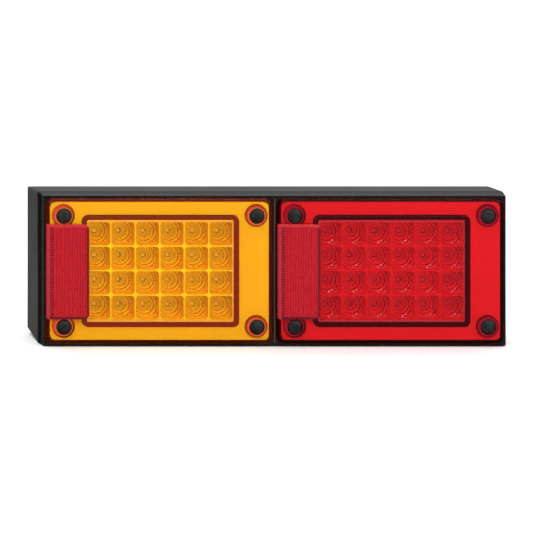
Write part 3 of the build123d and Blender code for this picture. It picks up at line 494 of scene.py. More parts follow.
    # a dark mark painted mid-height on the right-hand walls of the cells in the third and fourth columns
    marked = g.math("LESS_THAN", g.math("ABSOLUTE", g.math("SUBTRACT", column, 2.5)), 0.8)
    dark_mark = g.math(
        "MULTIPLY",
        g.rescale(g.math("ABSOLUTE", g.math("SUBTRACT", lz, 0.8)), 0.5, 1.1, 1.0, 0.0),
        g.rescale(g.math("ABSOLUTE", g.math("ADD", xyz[1], 28.9 * MM)), 0.4 * MM, 0.9 * MM, 1.0, 0.0),
    )
    dark_mark = g.math("MULTIPLY", g.math("MULTIPLY", dark_mark, marked), g.math("MULTIPLY", right, 0.55))
    colour = g.mix(dark_mark, colour, tuple(c * 0.35 for c in wall_right))
    crossing = g.rescale(g.math("ADD", g.math("ABSOLUTE", lx), g.math("ABSOLUTE", lz)), 12.6, 14.0, 0.0, 1.0)
    land_tone = g.mix(crossing, tuple(a * b for a, b in zip(land, (0.98, 0.82, 0.76))), land)
    border = g.math(
        "MAXIMUM",
        g.math("GREATER_THAN", g.math("ABSOLUTE", g.math("SUBTRACT", xyz[0], x0 * MM + 48.0 * MM)), 47.45 * MM),
        g.math("GREATER_THAN", g.math("ABSOLUTE", xyz[2]), 31.5 * MM),
    )
    land_tone = g.mix(g.math("MULTIPLY", border, 0.65), land_tone, floor_tone)
    colour = g.mix(on_land, colour, land_tone)
    metal = g.math("MULTIPLY", g.rescale(haze, 0.35, 0.65, 0.22, 0.08), g.math("SUBTRACT", 1.0, on_land))
    b = g.principled(
        Base_Color=colour,
        Metallic=metal,
        Roughness=g.rescale(haze, 0.3, 0.7, 0.24, 0.4),
        Normal=g.bump(peel, 0.35, 0.02 * MM),
    )
    return g.done(b.outputs[0])


def reflex_material():
    """Red acrylic cover: clear over the prisms, its closed sides and border scatter a paler red; its upward faces and
    the top of its border carry a painted highlight.
    """
    g = Graph("reflex_red_cover")
    p = g.position()
    xyz = g.split(p)
    flow = g.noise(g.mapping(p, scale=(1, 1, 3)), 20.0, 2.0)
    scuff = g.noise(g.mapping(p, scale=(1.0, 1.0, 7.0)), 420.0, 4.0, 0.75)
    geo = g.node("ShaderNodeNewGeometry")
    n = g.split(geo.outputs["True Normal"])
    side = g.rescale(g.math("ABSOLUTE", n[1]), 0.3, 0.8, 1.0, 0.0)
    seat = g.math("GREATER_THAN", xyz[1], -37.5 * MM)
    solid = g.math("MAXIMUM", side, seat)
    colour = g.mix(solid, (0.84, 0.070, 0.115), (0.40, 0.030, 0.045))
    # painted highlight: the upward-facing sides are painted a paler red
    top = g.math("MULTIPLY", side, g.math("GREATER_THAN", n[2], 0.4))
    colour = g.mix(top, colour, (0.80, 0.055, 0.050))
    # its solid border, outside the hollow, shows paler along the outer end, and along the top as a painted highlight
    across = g.math("FLOORED_MODULO", g.math("MULTIPLY", g.math("ADD", xyz[0], 149.601 * MM), 1000.0), 150.8)
    fore = g.math("LESS_THAN", xyz[1], -38.9 * MM)
    left = g.math("MULTIPLY", fore, g.rescale(across, 1.75, 2.1, 1.0, 0.0))
    upper = g.math("MULTIPLY", fore, g.rescale(xyz[2], 28.9 * MM, 29.4 * MM, 0.0, 1.0))
    rim = g.math("MAXIMUM", left, upper)
    colour = g.mix(left, colour, (0.56, 0.040, 0.060))
    colour = g.mix(upper, colour, (0.68, 0.036, 0.040))
    glass = g.principled(
        Base_Color=colour,
        Roughness=g.rescale(scuff, 0.55, 0.8, 0.03, 0.14),
        Normal=g.bump(flow, 0.08, 0.04 * MM),
        Transmission_Weight=g.math("MINIMUM", g.rescale(solid, 0.0, 1.0, 0.90, 0.30), g.rescale(rim, 0.0, 1.0, 1.0, 0.40)),
    )
    g.put(glass.inputs["IOR"], 1.49)
    clear = g.node("ShaderNodeBsdfTransparent")
    g.put(clear.inputs["Color"], (0.80, 0.10, 0.13))
    path = g.node("ShaderNodeLightPath")
    mix = g.node("ShaderNodeMixShader")
    g.nt.links.new(path.outputs["Is Shadow Ray"], mix.inputs[0])
    g.nt.links.new(glass.outputs[0], mix.inputs[1])
    g.nt.links.new(clear.outputs[0], mix.inputs[2])
    vol = g.node("ShaderNodeVolumeAbsorption")
    g.put(vol.inputs["Color"], (0.90, 0.05, 0.09))
    g.put(vol.inputs["Density"], 70.0)
    return g.done(mix.outputs[0], vol.outputs[0])


def prism_material():
    """Prism ridges: each ridge is painted with a bright flank and a dull one as painted light and shade, with small
    facets of random brightness as painted sparkle.
    """
    g = Graph("prism_bright")
    p = g.position()
    sparkle = g.voronoi(p, 900.0, out="Color")
    clouds = g.noise(p, 120.0, 3.0)
    v = g.split(sparkle)[0]
    geo = g.node("ShaderNodeNewGeometry")
    n = g.split(geo.outputs["True Normal"])
    xyz = g.split(p)
    # painted light and shade: flanks that face left are painted bright, those that face right dull
    flank = g.rescale(n[0], -0.35, 0.35, 0.0, 1.0)
    # place across the plate, the same for both lamps: 0 at its outer edge
    across = g.math("FLOORED_MODULO", g.math("MULTIPLY", g.math("ADD", xyz[0], 148.0 * MM), 1000.0), 150.8)
    strip = g.math("MULTIPLY", g.math("GREATER_THAN", across, 0.5), g.math("LESS_THAN", across, 3.25))
    border = g.math("LESS_THAN", across, 0.62)
    # painted light and shade: the strip's rungs are painted pale where they face up and dark where they face down
    rungs = g.rescale(n[2], -0.35, 0.35, 1.0, 0.0)
    bright = g.mix(g.rescale(v, 0.0, 1.0, 0.0, 1.0), (0.80, 0.80, 0.82), (0.98, 0.98, 1.0))
    dull = g.mix(g.rescale(v, 0.0, 1.0, 0.0, 1.0), (0.22, 0.22, 0.24), (0.42, 0.42, 0.44))
    b = g.principled(
        Base_Color=g.mix(
            border,
            g.mix(strip, g.mix(flank, bright, dull), g.mix(rungs, (0.36, 0.31, 0.34), (0.010, 0.006, 0.006))),
            (0.02, 0.015, 0.015),
        ),
        Metallic=0.2,
        Roughness=g.rescale(clouds, 0.3, 0.7, 0.26, 0.4),
        Normal=g.bump(v, 0.35, 0.05 * MM),
    )
    return g.done(b.outputs[0])


def rubber_material(name, base, tint, rough, pore_mm, depth_mm, strength=0.8, sheen=0.25):
    g = Graph(name)
    p = g.position()
    clouds = g.noise(p, 260.0, 4.0, 0.65)
    grain = g.noise(p, 1.0 / (pore_mm * MM), 3.0, 0.65)
    cells = g.voronoi(p, 1.2 / (pore_mm * MM))
    colour = g.mix(g.rescale(clouds, 0.35, 0.65, 0, 1), base, tint)
    colour = g.mix(g.rescale(grain, 0.56, 0.72, 0.0, 0.5), colour, tuple(min(1, 2.4 * c) for c in tint))
    height = g.math("ADD", grain, g.math("MULTIPLY", cells, 0.6))
    b = g.principled(
        Base_Color=colour,
        Roughness=g.rescale(clouds, 0.3, 0.7, rough - 0.08, rough + 0.08),
        Normal=g.bump(height, strength, depth_mm * MM),
        Sheen_Weight=sheen,
    )
    g.put(b.inputs["Sheen Roughness"], 0.5)
    return g.done(b.outputs[0])


def steel_material(name, colour, rough, axis):
    """Turned or drawn steel: fine scratches along or around one axis."""
    g = Graph(name)
    p = g.position()
    scale = [1.0, 1.0, 1.0]
    scale[axis] = 14.0
    turn = g.noise(g.mapping(p, scale=tuple(scale)), 700.0, 3.0, 0.7)
    spots = g.noise(p, 300.0, 4.0, 0.7)
    base = g.mix(g.rescale(spots, 0.45, 0.75, 0.0, 0.6), colour, tuple(c * 0.62 for c in colour))
    b = g.principled(
        Base_Color=base,
        Metallic=1.0,
        Roughness=g.math("ADD", g.rescale(turn, 0.3, 0.7, rough - 0.06, rough + 0.08), g.rescale(spots, 0.5, 0.8, 0.0, 0.12)),
        Normal=g.bump(turn, 0.3, 0.01 * MM, g.soft_edge(0.1 * MM, 4)),
    )
    return g.done(b.outputs[0])


def board_material():
    """Fibreglass board: green mask with fine weave, copper tracks under it, bare fibre at the edge."""
    g = Graph("board_green_mask")
    p = g.position()
    xyz = g.split(p)
    weave = g.node("ShaderNodeTexWave", wave_type="BANDS", bands_direction="X")
    g.put(weave.inputs["Vector"], p)
    g.put(weave.inputs["Scale"], 900.0)
    weave2 = g.node("ShaderNodeTexWave", wave_type="BANDS", bands_direction="Z")
    g.put(weave2.inputs["Vector"], p)
    g.put(weave2.inputs["Scale"], 900.0)
    cloth = g.math("MULTIPLY", weave.outputs["Fac"], weave2.outputs["Fac"])
    tracks = g.node("ShaderNodeTexBrick")
    g.put(tracks.inputs["Vector"], g.mapping(p, rotation=(math.radians(90), 0, 0)))
    g.put(tracks.inputs["Scale"], 62.0)
    g.put(tracks.inputs["Mortar Size"], 0.012)
    g.put(tracks.inputs["Color1"], (0, 0, 0))
    g.put(tracks.inputs["Color2"], (0, 0, 0))
    g.put(tracks.inputs["Mortar"], (1, 1, 1))
    green = g.mix(g.rescale(cloth, 0, 1, 0, 0.5), (0.012, 0.095, 0.040), (0.018, 0.13, 0.055))
    green = g.mix(g.math("MULTIPLY", tracks.outputs["Color"], 0.8), green, (0.05, 0.22, 0.085))
    geo = g.node("ShaderNodeNewGeometry")
    facing = g.math("ABSOLUTE", g.split(geo.outputs["Normal"])[1])
    colour = g.mix(g.math("GREATER_THAN", facing, 0.7), (0.45, 0.42, 0.22), green)
    height = g.math("ADD", g.math("MULTIPLY", cloth, 0.3), tracks.outputs["Color"])
    b = g.principled(
        Base_Color=colour, Roughness=g.rescale(cloth, 0, 1, 0.28, 0.36), Normal=g.bump(height, 0.3, 0.04 * MM)
    )
    return g.done(b.outputs[0])


def led_material(name, x0, chip, body_tone, dark, haze):
    """Domed package: pale milky body, with a dark crescent of painted shade where the hole's rim shades the dome,
    plainest in the second column.
    The haze is a painted glow: it stands in for light scattered inside the clear dome."""
    g = Graph(name)
    p = g.position()
    xyz = g.split(p)
    high = g.rescale(xyz[1], -24.4 * MM, -24.0 * MM, 1.0, 0.0)
    tone = g.noise(p, 1800.0, 2.0)
    along = g.math("MULTIPLY", g.math("SUBTRACT", xyz[0], x0 * MM), 1000.0)
    lx = g.math("SUBTRACT", g.math("FLOORED_MODULO", along, 16.0), 8.0)
    lz = g.math("SUBTRACT", g.math("FLOORED_MODULO", g.math("MULTIPLY", g.math("ADD", xyz[2], 32.0 * MM), 1000.0), 16.0), 8.0)
    column = g.math("FLOOR", g.math("DIVIDE", along, 16.0))
    second = g.math("LESS_THAN", g.math("ABSOLUTE", g.math("SUBTRACT", column, 1.0)), 0.5)
    third = g.math("LESS_THAN", g.math("ABSOLUTE", g.math("SUBTRACT", column, 2.5)), 0.8)
    weight = g.math("ADD", 0.16, g.math("ADD", g.math("MULTIPLY", second, 0.80), g.math("MULTIPLY", third, 0.30)))
    ox = g.math("ADD", lx, 0.25)
    r = g.math("SQRT", g.math("ADD", g.math("MULTIPLY", ox, ox), g.math("MULTIPLY", lz, lz)))
    ring = g.math("MULTIPLY", g.rescale(r, 0.35, 0.6, 0.0, 1.0), g.rescale(r, 1.15, 1.4, 1.0, 0.0))
    # painted shade: a dark crescent where the hole's rim shades the dome
    crescent = g.math("MULTIPLY", ring, g.rescale(ox, -0.15, 0.45, 0.0, 1.0))
    dome = g.mix(g.rescale(tone, 0.3, 0.7, 0, 1), chip, tuple(c * 0.85 for c in chip))
    dome = g.mix(g.math("MULTIPLY", crescent, weight), dome, dark)
    body = g.mix(g.rescale(tone, 0.3, 0.7, 0, 1), body_tone, tuple(c * 0.85 for c in body_tone))
    b = g.principled(
        Base_Color=g.mix(high, body, dome),
        Roughness=g.rescale(high, 0, 1, 0.45, 0.14),
        Normal=g.bump(tone, 0.15, 0.02 * MM),
    )
    g.put(b.inputs["Coat Weight"], 0.3)
    # painted glow: the dome is given a faint light of its own, less over the crescent
    milky = g.math("MULTIPLY", high, g.math("SUBTRACT", 1.0, g.math("MULTIPLY", crescent, weight)))
    g.put(b.inputs["Emission Color"], g.mix(milky, (0.0, 0.0, 0.0), haze))
    g.put(b.inputs["Emission Strength"], 1.0)
    return g.done(b.outputs[0])


def plain_moulding(name, a, c, rough, grain_mm=0.3):
    g = Graph(name)
    p = g.position()
    clouds = g.noise(p, 160.0, 3.0)
    grain = g.noise(p, 1.0 / (grain_mm * MM), 2.0)
    b = g.principled(
        Base_Color=g.mix(g.rescale(clouds, 0.3, 0.7, 0, 1), a, c),
        Roughness=g.rescale(grain, 0.3, 0.7, rough - 0.06, rough + 0.06),
        Normal=g.bump(grain, 0.4, 0.02 * MM, g.soft_edge(0.12 * MM, 4)),
    )
    return g.done(b.outputs[0])


def banded(name, vec_axis, stops, rough):
    """Insulated cores: one colour per core, picked by where the core lies."""
    g = Graph(name)
    p = g.position()
    v = g.split(p)[vec_axis]
    lo, hi = stops[0][0], stops[-1][0]
    ramp = g.ramp(
        g.rescale(v, lo * MM, hi * MM, 0.0, 1.0),
        [((at - lo) / (hi - lo), col) for at, col in stops],
        "CONSTANT",
    )
    tone = g.noise(p, 700.0, 3.0)
    colour = g.mix(g.rescale(tone, 0.3, 0.7, 0.0, 0.35), ramp, (0.02, 0.02, 0.02))
    b = g.principled(
        Base_Color=colour, Roughness=g.rescale(tone, 0.3, 0.7, rough - 0.06, rough + 0.08),
        Normal=g.bump(tone, 0.3, 0.02 * MM),
    )
    return g.done(b.outputs[0])


def dress(obj, mat):
    obj.data.materials.clear()
    obj.data.materials.append(mat)
    for poly in obj.data.polygons:
        poly.material_index = 0


MAT = {
    "housing": housing_material(),
    "bezel": bezel_material(),
    "backing_amber": backing_material("backing_warm_white", (0.93, 0.665, 0.74)),
    "backing_red": backing_material("backing_white_satin", (0.93, 0.93, 0.92)),
    "tray_amber": tray_material(
        "tray_metal_amber", -122.8, (1.0, 1.0, 0.95), (1.0, 0.70, 0.58), (0.92, 0.55, 0.43), (0.93, 0.47, 0.35), 0.35, 0.45
    ),
    "tray_red": tray_material(
        "tray_metal_red", 28.0, (0.86, 0.86, 0.88), (0.96, 0.96, 0.98), (0.84, 0.84, 0.86), (0.92, 0.86, 0.88), 1.0, 0.0
    ),
    "reflex": reflex_material(),
    "prism": prism_material(),
    "plug": rubber_material("plug_rubber", (0.004, 0.0035, 0.0038), (0.022, 0.019, 0.021), 0.46, 1.1, 0.30, 1.0, 0.02),
    "seal": rubber_material("seal_rubber", (0.02, 0.02, 0.02), (0.03, 0.03, 0.03), 0.6, 0.4, 0.03, 0.5),
    "foam": rubber_material("foam_pad", (0.030, 0.030, 0.031), (0.045, 0.045, 0.046), 0.9, 0.7, 0.25, 1.0),
    "sheath": rubber_material("cable_sheath", (0.016, 0.016, 0.017), (0.024, 0.024, 0.025), 0.42, 0.5, 0.02, 0.4),
    "steel": steel_material("screw_stainless", (0.62, 0.61, 0.59), 0.26, 1),
    "zinc": steel_material("stud_zinc", (0.66, 0.66, 0.62), 0.34, 1),
    "board": board_material(),
    "parts": plain_moulding("component_bodies", (0.02, 0.02, 0.021), (0.035, 0.035, 0.035), 0.45),
    "nylon": plain_moulding("connector_nylon", (0.72, 0.70, 0.62), (0.62, 0.60, 0.52), 0.5),
}
AMBER = lens_material(
    "lens_amber", -74.8 * MM, (1.0, 0.93, 0.20), (0.985, 0.76, 0.02), 230.0, (1.0, 0.93, 0.34),
    (0.30, 0.026, 0.006), (0.70, 0.070, 0.020), (0.95, 0.45, 0.075), 0.0, (0.75, 0.10, 0.06),
)
RED = lens_material(
    "lens_red", 76.0 * MM, (0.93, 0.245, 0.30), (0.93, 0.02, 0.06), 280.0, (0.97, 0.32, 0.36),
    (0.075, 0.001, 0.003), (0.34, 0.006, 0.016), (0.40, 0.026, 0.048), 0.62, (0.26, 0.02, 0.02),
)
LED_AMBER = led_material("led_amber", -122.8, (1.0, 0.80, 0.80), (0.98, 0.80, 0.78), (0.06, 0.02, 0.01), (0.22, 0.15, 0.11))
LED_RED = led_material("led_red", 28.0, (0.98, 0.97, 0.97), (0.97, 0.96, 0.96), (0.42, 0.34, 0.34), (0.11, 0.035, 0.035))

for n in ("base_housing",):
    dress(NODES[n], MAT["housing"])
dress(NODES["front_bezel"], MAT["bezel"])
dress(NODES["mounting_pad"], MAT["foam"])
dress(NODES["cable_grommet"], MAT["seal"])
dress(NODES["supply_cable"], MAT["sheath"])
dress(
    NODES["cable_cores"],
    banded("core_colours", 0, [(-12.0, (0.45, 0.02, 0.015)), (-9.5, (0.62, 0.60, 0.55)), (-7.0, (0.6, 0.6, 0.55))], 0.4),
)
for c, lens, led in (("amber", AMBER, LED_AMBER), ("red", RED, LED_RED)):
    dress(NODES[f"{c}_lens"], lens)
    dress(NODES[f"{c}_reflex_reflector"], MAT["reflex"])
    dress(NODES[f"{c}_prism_plate"], MAT["prism"])
    dress(NODES[f"{c}_lens_backing"], MAT[f"backing_{c}"])
    dress(NODES[f"{c}_lens_screws"], MAT["steel"])
    dress(NODES[f"{c}_board_screws"], MAT["steel"])
    dress(NODES[f"{c}_lens_gasket"], MAT["seal"])
    dress(NODES[f"{c}_leds"], led)
    dress(NODES[f"{c}_circuit_board"], MAT["board"])
    dress(NODES[f"{c}_board_components"], MAT["parts"])
    dress(NODES[f"{c}_connector"], MAT["nylon"])
dress(
    NODES["amber_leads"],
    banded("lead_colours_amber", 2, [(-2.5, (0.60, 0.58, 0.52)), (0.0, (0.70, 0.45, 0.02)), (2.5, (0.7, 0.45, 0.02))], 0.4),
)
dress(
    NODES["red_leads"],
    banded(
        "lead_colours_red",
        2,
        [(-3.5, (0.60, 0.58, 0.52)), (-1.25, (0.45, 0.02, 0.015)), (1.25, (0.16, 0.06, 0.02)), (3.5, (0.16, 0.06, 0.02))],
        0.4,
    ),
)

# ---------------------------------------------------- finer visual meshes ---

PITCH, COLUMNS, ROWS = 16.0, 6, 4
TRAY_BACK, TRAY_FRONT = 24.25, 34.7
SIDE_X, SIDE_Z, SIDE_R = 47.9, 33.3, 1.6
STEPS = 96  # points round each cell


def rounded_square(half, r, theta):
    """Distance from the centre to the edge of a rounded square, along theta."""
    c, sn = abs(math.cos(theta)), abs(math.sin(theta))
    flat = half / max(c, sn)
    if min(c, sn) * flat <= half - r:
        return flat
    k = (half - r) * (c + sn)
    return k + math.sqrt(max(0.0, k * k - 2 * (half - r) ** 2 + r * r))


def cell_profile():
    """(radius, depth, ring) rows of the stepped floor, from the LED hole outwards."""
    rows = [(1.9, TRAY_BACK, 0), (1.9, 24.95, 0), (2.02, 25.15, 0), (2.3, 25.2, 0), (2.45, 25.08, 0)]
    for k, (r0, d0, r1, d1) in enumerate(
        ((2.5, 25.15, 4.3, 25.6), (4.46, 26.1, 6.4, 26.6), (6.56, 27.1, 8.05, 27.5), (8.2, 28.0, 10.6, 28.8)), 1
    ):
        cuts = 5 if k < 4 else 4
        for i in range(cuts + 1):
            t = i / cuts
            rows.append((r0 + (r1 - r0) * t, d0 + (d1 - d0) * t, k if 0 < i < cuts else -k))
    return rows


PILLOWS = {1: (12, 0.28), 2: (24, 0.42), 3: (32, 0.42), 4: (32, 0.34)}


def build_tray(name, xc):
    """The reflector tray: 24 wells, each with a lipped LED hole, stepped pillowed rings and drawn walls."""
    bm = bmesh.new()
    profile = cell_profile()
    ring_at = {}
    for k, (n, amp) in PILLOWS.items():
        radii = [r for r, d, m in profile if abs(m) == k]
        ring_at[k] = (min(radii), max(radii), n, amp)
    for j in range(ROWS):
        for i in range(COLUMNS):
            cx = xc + (i - (COLUMNS - 1) / 2) * PITCH
            cz = ((ROWS - 1) / 2 - j) * PITCH
            turn = 0.0
            loops = []

            def edge(depth, theta):
                t = (depth - 23.9) / (35.6 - 23.9)
                return rounded_square(7.0 + 0.44 * t, 1.5 + 0.35 * t, theta)

            def add(points):
                loops.append([bm.verts.new((x * MM, -d * MM, z * MM)) for x, d, z in points])

            floor_end = {}
            for r, d, m in profile:
                pts = []
                for s_ in range(STEPS):
                    th = 2 * math.pi * s_ / STEPS
                    depth = d
                    k = abs(m)
                    if k and m > 0:
                        r0, r1, n, amp = ring_at[k]
                        u = math.sin(math.pi * (r - r0) / (r1 - r0))
                        depth = d + amp * u * (0.7 + 0.3 * math.cos(n * th + turn))
                    lim = edge(d, th)
                    if r >= lim:
                        if s_ not in floor_end:
                            floor_end[s_] = (lim, d)
                        rr, depth = floor_end[s_]
                    else:
                        rr = r
                    pts.append((cx + rr * math.cos(th), depth, cz + rr * math.sin(th)))
                add(pts)
            # drawn walls, a rolled edge, then the land out to the cell's own square
            for t in (0.33, 0.66, 1.0):
                pts = []
                for s_ in range(STEPS):
                    th = 2 * math.pi * s_ / STEPS
                    r_in, d_in = floor_end.get(s_, (edge(28.6, th), 28.6))
                    d_now = d_in + (TRAY_FRONT - 0.28 - d_in) * t
                    rr = edge(d_now, th)
                    pts.append((cx + rr * math.cos(th), d_now, cz + rr * math.sin(th)))
                add(pts)
            for grow, d_now in ((0.06, TRAY_FRONT - 0.08), (0.14, TRAY_FRONT)):
                add(
                    [
                        (
                            cx + (edge(34.5, 2 * math.pi * s_ / STEPS) + grow) * math.cos(2 * math.pi * s_ / STEPS),
                            d_now,
                            cz + (edge(34.5, 2 * math.pi * s_ / STEPS) + grow) * math.sin(2 * math.pi * s_ / STEPS),
                        )
                        for s_ in range(STEPS)
                    ]
                )

            def square(depth):
                pts = []
                for s_ in range(STEPS):
                    th = 2 * math.pi * s_ / STEPS
                    reach = 8.0 / max(abs(math.cos(th)), abs(math.sin(th)))
                    x, z = reach * math.cos(th), reach * math.sin(th)
                    gx, gz = cx + x, cz + z
                    gx = max(xc - SIDE_X, min(xc + SIDE_X, gx))
                    if j == 0 and z > 7.99:
                        gz = SIDE_Z
                    if j == ROWS - 1 and z < -7.99:
                        gz = -SIDE_Z
                    qx, qz = abs(gx - xc) - (SIDE_X - SIDE_R), abs(gz) - (SIDE_Z - SIDE_R)
                    if qx > 0 and qz > 0 and math.hypot(qx, qz) > SIDE_R:
                        k_ = SIDE_R / math.hypot(qx, qz)
                        gx = xc + math.copysign(SIDE_X - SIDE_R + qx * k_, gx - xc)
                        gz = math.copysign(SIDE_Z - SIDE_R + qz * k_, gz)
                    pts.append((gx, depth, gz))
                return pts

            add(square(TRAY_FRONT))
            add(square(TRAY_BACK))
            loops.append(loops[0])
            for n_, (a, b) in enumerate(zip(loops, loops[1:])):
                for s_ in range(STEPS):
                    t_ = (s_ + 1) % STEPS
                    if n_ == len(loops) - 3 + 0:
                        # the cell's outer side: only where the tray ends
                        mid_x = (a[s_].co.x + a[t_].co.x) / 2 / MM - xc
                        mid_z = (a[s_].co.z + a[t_].co.z) / 2 / MM
                        qx, qz = abs(mid_x) - (SIDE_X - SIDE_R), abs(mid_z) - (SIDE_Z - SIDE_R)
                        rounded = qx > 0 and qz > 0 and math.hypot(qx, qz) > SIDE_R - 0.25
                        if abs(mid_x) < SIDE_X - 0.02 and abs(mid_z) < SIDE_Z - 0.02 and not rounded:
                            continue
                    bm.faces.new((a[s_], a[t_], b[t_], b[s_]))
    bmesh.ops.remove_doubles(bm, verts=bm.verts, dist=2e-6)
    bmesh.ops.dissolve_degenerate(bm, edges=bm.edges, dist=1e-7)
    bmesh.ops.recalc_face_normals(bm, faces=bm.faces)
    me = bpy.data.meshes.new(name)
    bm.to_mesh(me)
    bm.free()
    o = bpy.data.objects.new(name, me)
    scene.collection.objects.link(o)
    return o


for c, xc in (("amber", -74.8), ("red", 76.0)):
    tray = build_tray(f"{c}_tray_visual", xc)
    tray.data.materials.append(MAT[f"tray_{c}"])
    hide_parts(f"{c}_reflector_tray")
    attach(tray, "housing")


def build_plug(name, x0, z0):
    """A soft plug with a pillowed crown, a rolled rim and a hollow back."""
    bm = bmesh.new()
    n_th = 64
    outline = [(0.0, 36.4), (3.3, 36.4), (3.3, 34.0), (4.7, 34.0), (5.0, 34.5), (5.0, 37.1)]
    for k in range(1, 15):
        a_ = math.pi / 2 * k / 15
        outline.append((5.0 * math.cos(a_) ** 0.72, 37.1 + 2.45 * math.sin(a_) ** 1.10))
    rows = []
    for r, d in outline[1:]:
        row = []
        for k in range(n_th):
            th = math.tau * k / n_th
            x, z = r * math.cos(th), r * math.sin(th)
            lump = 0.0
            if d > 37.2:
                q = Vector(((x0 + x) * 1.15, d * 0.3, (z0 + z) * 1.15))
                lump = 0.13 * (mnoise.noise(q) + 0.6 * mnoise.noise(q * 2.3))
            row.append(bm.verts.new(((x0 + x) * MM, -(d + lump) * MM, (z0 + z) * MM)))
        rows.append(row)
    for a, b in zip(rows, rows[1:]):
        for k in range(n_th):
            m = (k + 1) % n_th
            bm.faces.new((a[k], a[m], b[m], b[k]))
    back = bm.verts.new((x0 * MM, -36.4 * MM, z0 * MM))
    crown = bm.verts.new((x0 * MM, -39.55 * MM, z0 * MM))
    for k in range(n_th):
        m = (k + 1) % n_th
        bm.faces.new((back, rows[0][m], rows[0][k]))
        bm.faces.new((rows[-1][k], rows[-1][m], crown))
    bmesh.ops.recalc_face_normals(bm, faces=bm.faces)
    me = bpy.data.meshes.new(name)
    bm.to_mesh(me)
    bm.free()
    for poly in me.polygons:
        poly.use_smooth = True
    o = bpy.data.objects.new(name, me)
    scene.collection.objects.link(o)
    return o


for c, xm in (("amber", -75.4), ("red", 75.4)):
    for place, sx, sz in (
        ("upper_left", -1, 1),
        ("upper_right", 1, 1),
        ("lower_left", -1, -1),
        ("lower_right", 1, -1),
    ):
        plug = build_plug(f"{c}_plug_{place}_visual", xm + 0.2 + sx * 62.9, sz * 36.2)
        plug.data.materials.append(MAT["plug"])
        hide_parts(f"{c}_plug_{place}")
        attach(plug, f"{c}_plug_{place}")


def build_studs(name):
    """Four M5 studs with rolled threads, on plain knurled roots."""
    bm = bmesh.new()
    turn_pts, pitch = 40, 0.8
    for sx in (-1, 1):
        for sz in (-1, 1):
            x0, z0 = sx * 120.0, sz * 25.0

            def ring(y, radius):
                return [
                    bm.verts.new(
                        (
                            (x0 + radius(2 * math.pi * k / turn_pts) * math.cos(2 * math.pi * k / turn_pts)) * MM,
                            y * MM,
                            (z0 + radius(2 * math.pi * k / turn_pts) * math.sin(2 * math.pi * k / turn_pts)) * MM,
                        )
                    )
                    for k in range(turn_pts)
                ]

            def thread(y):
                def at(th):
                    u = (y / pitch + th / (2 * math.pi)) % 1.0
                    crest = min(1.0, max(0.0, 1.35 - abs(2 * u - 1) * 1.7))
                    fade = min(1.0, max(0.0, (18.0 - y) / 0.7))
                    start = min(1.0, max(0.0, (y - 0.6) / 0.8))
                    r = 2.05 + 0.45 * crest
                    return (2.5 * (1 - start) + r * start) * fade + 2.0 * (1 - fade)

                return at

            rows = [ring(-9.9, lambda th: 0.9), ring(-9.9, lambda th: 2.9)]
            rows.append(ring(-9.6, lambda th: 3.2 - 0.12 * (round(th * 40 / math.tau) % 2)))
            rows.append(ring(-3.0, lambda th: 3.2 - 0.12 * (round(th * 40 / math.tau) % 2)))
            rows.append(ring(-2.75, lambda th: 3.0))
            rows.append(ring(-2.7, lambda th: 2.5))
            y = -2.4
            while y < 0.61:
                rows.append(ring(y, lambda th: 2.5))
                y += 1.0
            y = 0.7
            while y < 17.95:
                rows.append(ring(y, thread(y)))
                y += pitch / 10
            rows.append(ring(18.0, lambda th: 1.95))
            rows.append(ring(18.0, lambda th: 0.9))
            for a, b in zip(rows, rows[1:]):
                for k in range(turn_pts):
                    m = (k + 1) % turn_pts
                    bm.faces.new((a[k], a[m], b[m], b[k]))
            bm.faces.new(rows[0])
            bm.faces.new(rows[-1][::-1])
    bmesh.ops.recalc_face_normals(bm, faces=bm.faces)
    me = bpy.data.meshes.new(name)
    bm.to_mesh(me)
    bm.free()
    o = bpy.data.objects.new(name, me)
    scene.collection.objects.link(o)
    return o


studs = build_studs("rear_studs_visual")
studs.data.materials.append(MAT["zinc"])
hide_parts("rear_studs")
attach(studs, "housing")

# ------------------------------------------------------------ floor, light ---

FLOOR_Z = -49.6 * MM
me = bpy.data.meshes.new("floor")
bm = bmesh.new()
R = 6.0
verts = [bm.verts.new((x, y, FLOOR_Z)) for x, y in ((-R, -R), (R, -R), (R, R), (-R, R))]
bm.faces.new(verts)
bm.to_mesh(me)
bm.free()
floor = bpy.data.objects.new("floor", me)
scene.collection.objects.link(floor)
g = Graph("floor_pale")
fp = g.position()
paper = g.noise(fp, 3.0, 3.0)
fibre = g.noise(fp, 400.0, 2.0)
fb = g.principled(
    Base_Color=g.mix(g.rescale(paper, 0.3, 0.7, 0, 1), (0.97, 0.97, 0.97), (0.955, 0.955, 0.955)),
    Roughness=0.9,
    Normal=g.bump(fibre, 0.1, 0.02 * MM),
)
g.put(fb.inputs["Specular IOR Level"], 0.1)
me.materials.append(g.done(fb.outputs[0]))
floor.visible_glossy = False


def area_light(name, location, target, size, power, colour=(1, 1, 1), size_y=None):
    data = bpy.data.lights.new(name, "AREA")
    data.shape = "RECTANGLE" if size_y else "SQUARE"
    data.size = size
    if size_y:
        data.size_y = size_y
    data.energy = power
    data.color = colour
    o = bpy.data.objects.new(name, data)
    o.location = location
    d = Vector(target) - Vector(location)
    o.rotation_euler = d.to_track_quat("-Z", "Y").to_euler()
    scene.collection.objects.link(o)
    return o


key = area_light("key", (-0.9, -1.6, 2.2), (0, 0, 0), 1.6, 34.0, (1.0, 0.995, 0.98), 1.2)
area_light("fill", (1.5, -1.2, 1.1), (0, 0, 0), 1.4, 10.0, (0.98, 0.99, 1.0), 1.0)
area_light("top", (0.2, 0.5, 2.0), (0, 0, 0), 1.6, 16.0, (1, 1, 1), 0.9)

key.visible_glossy = False

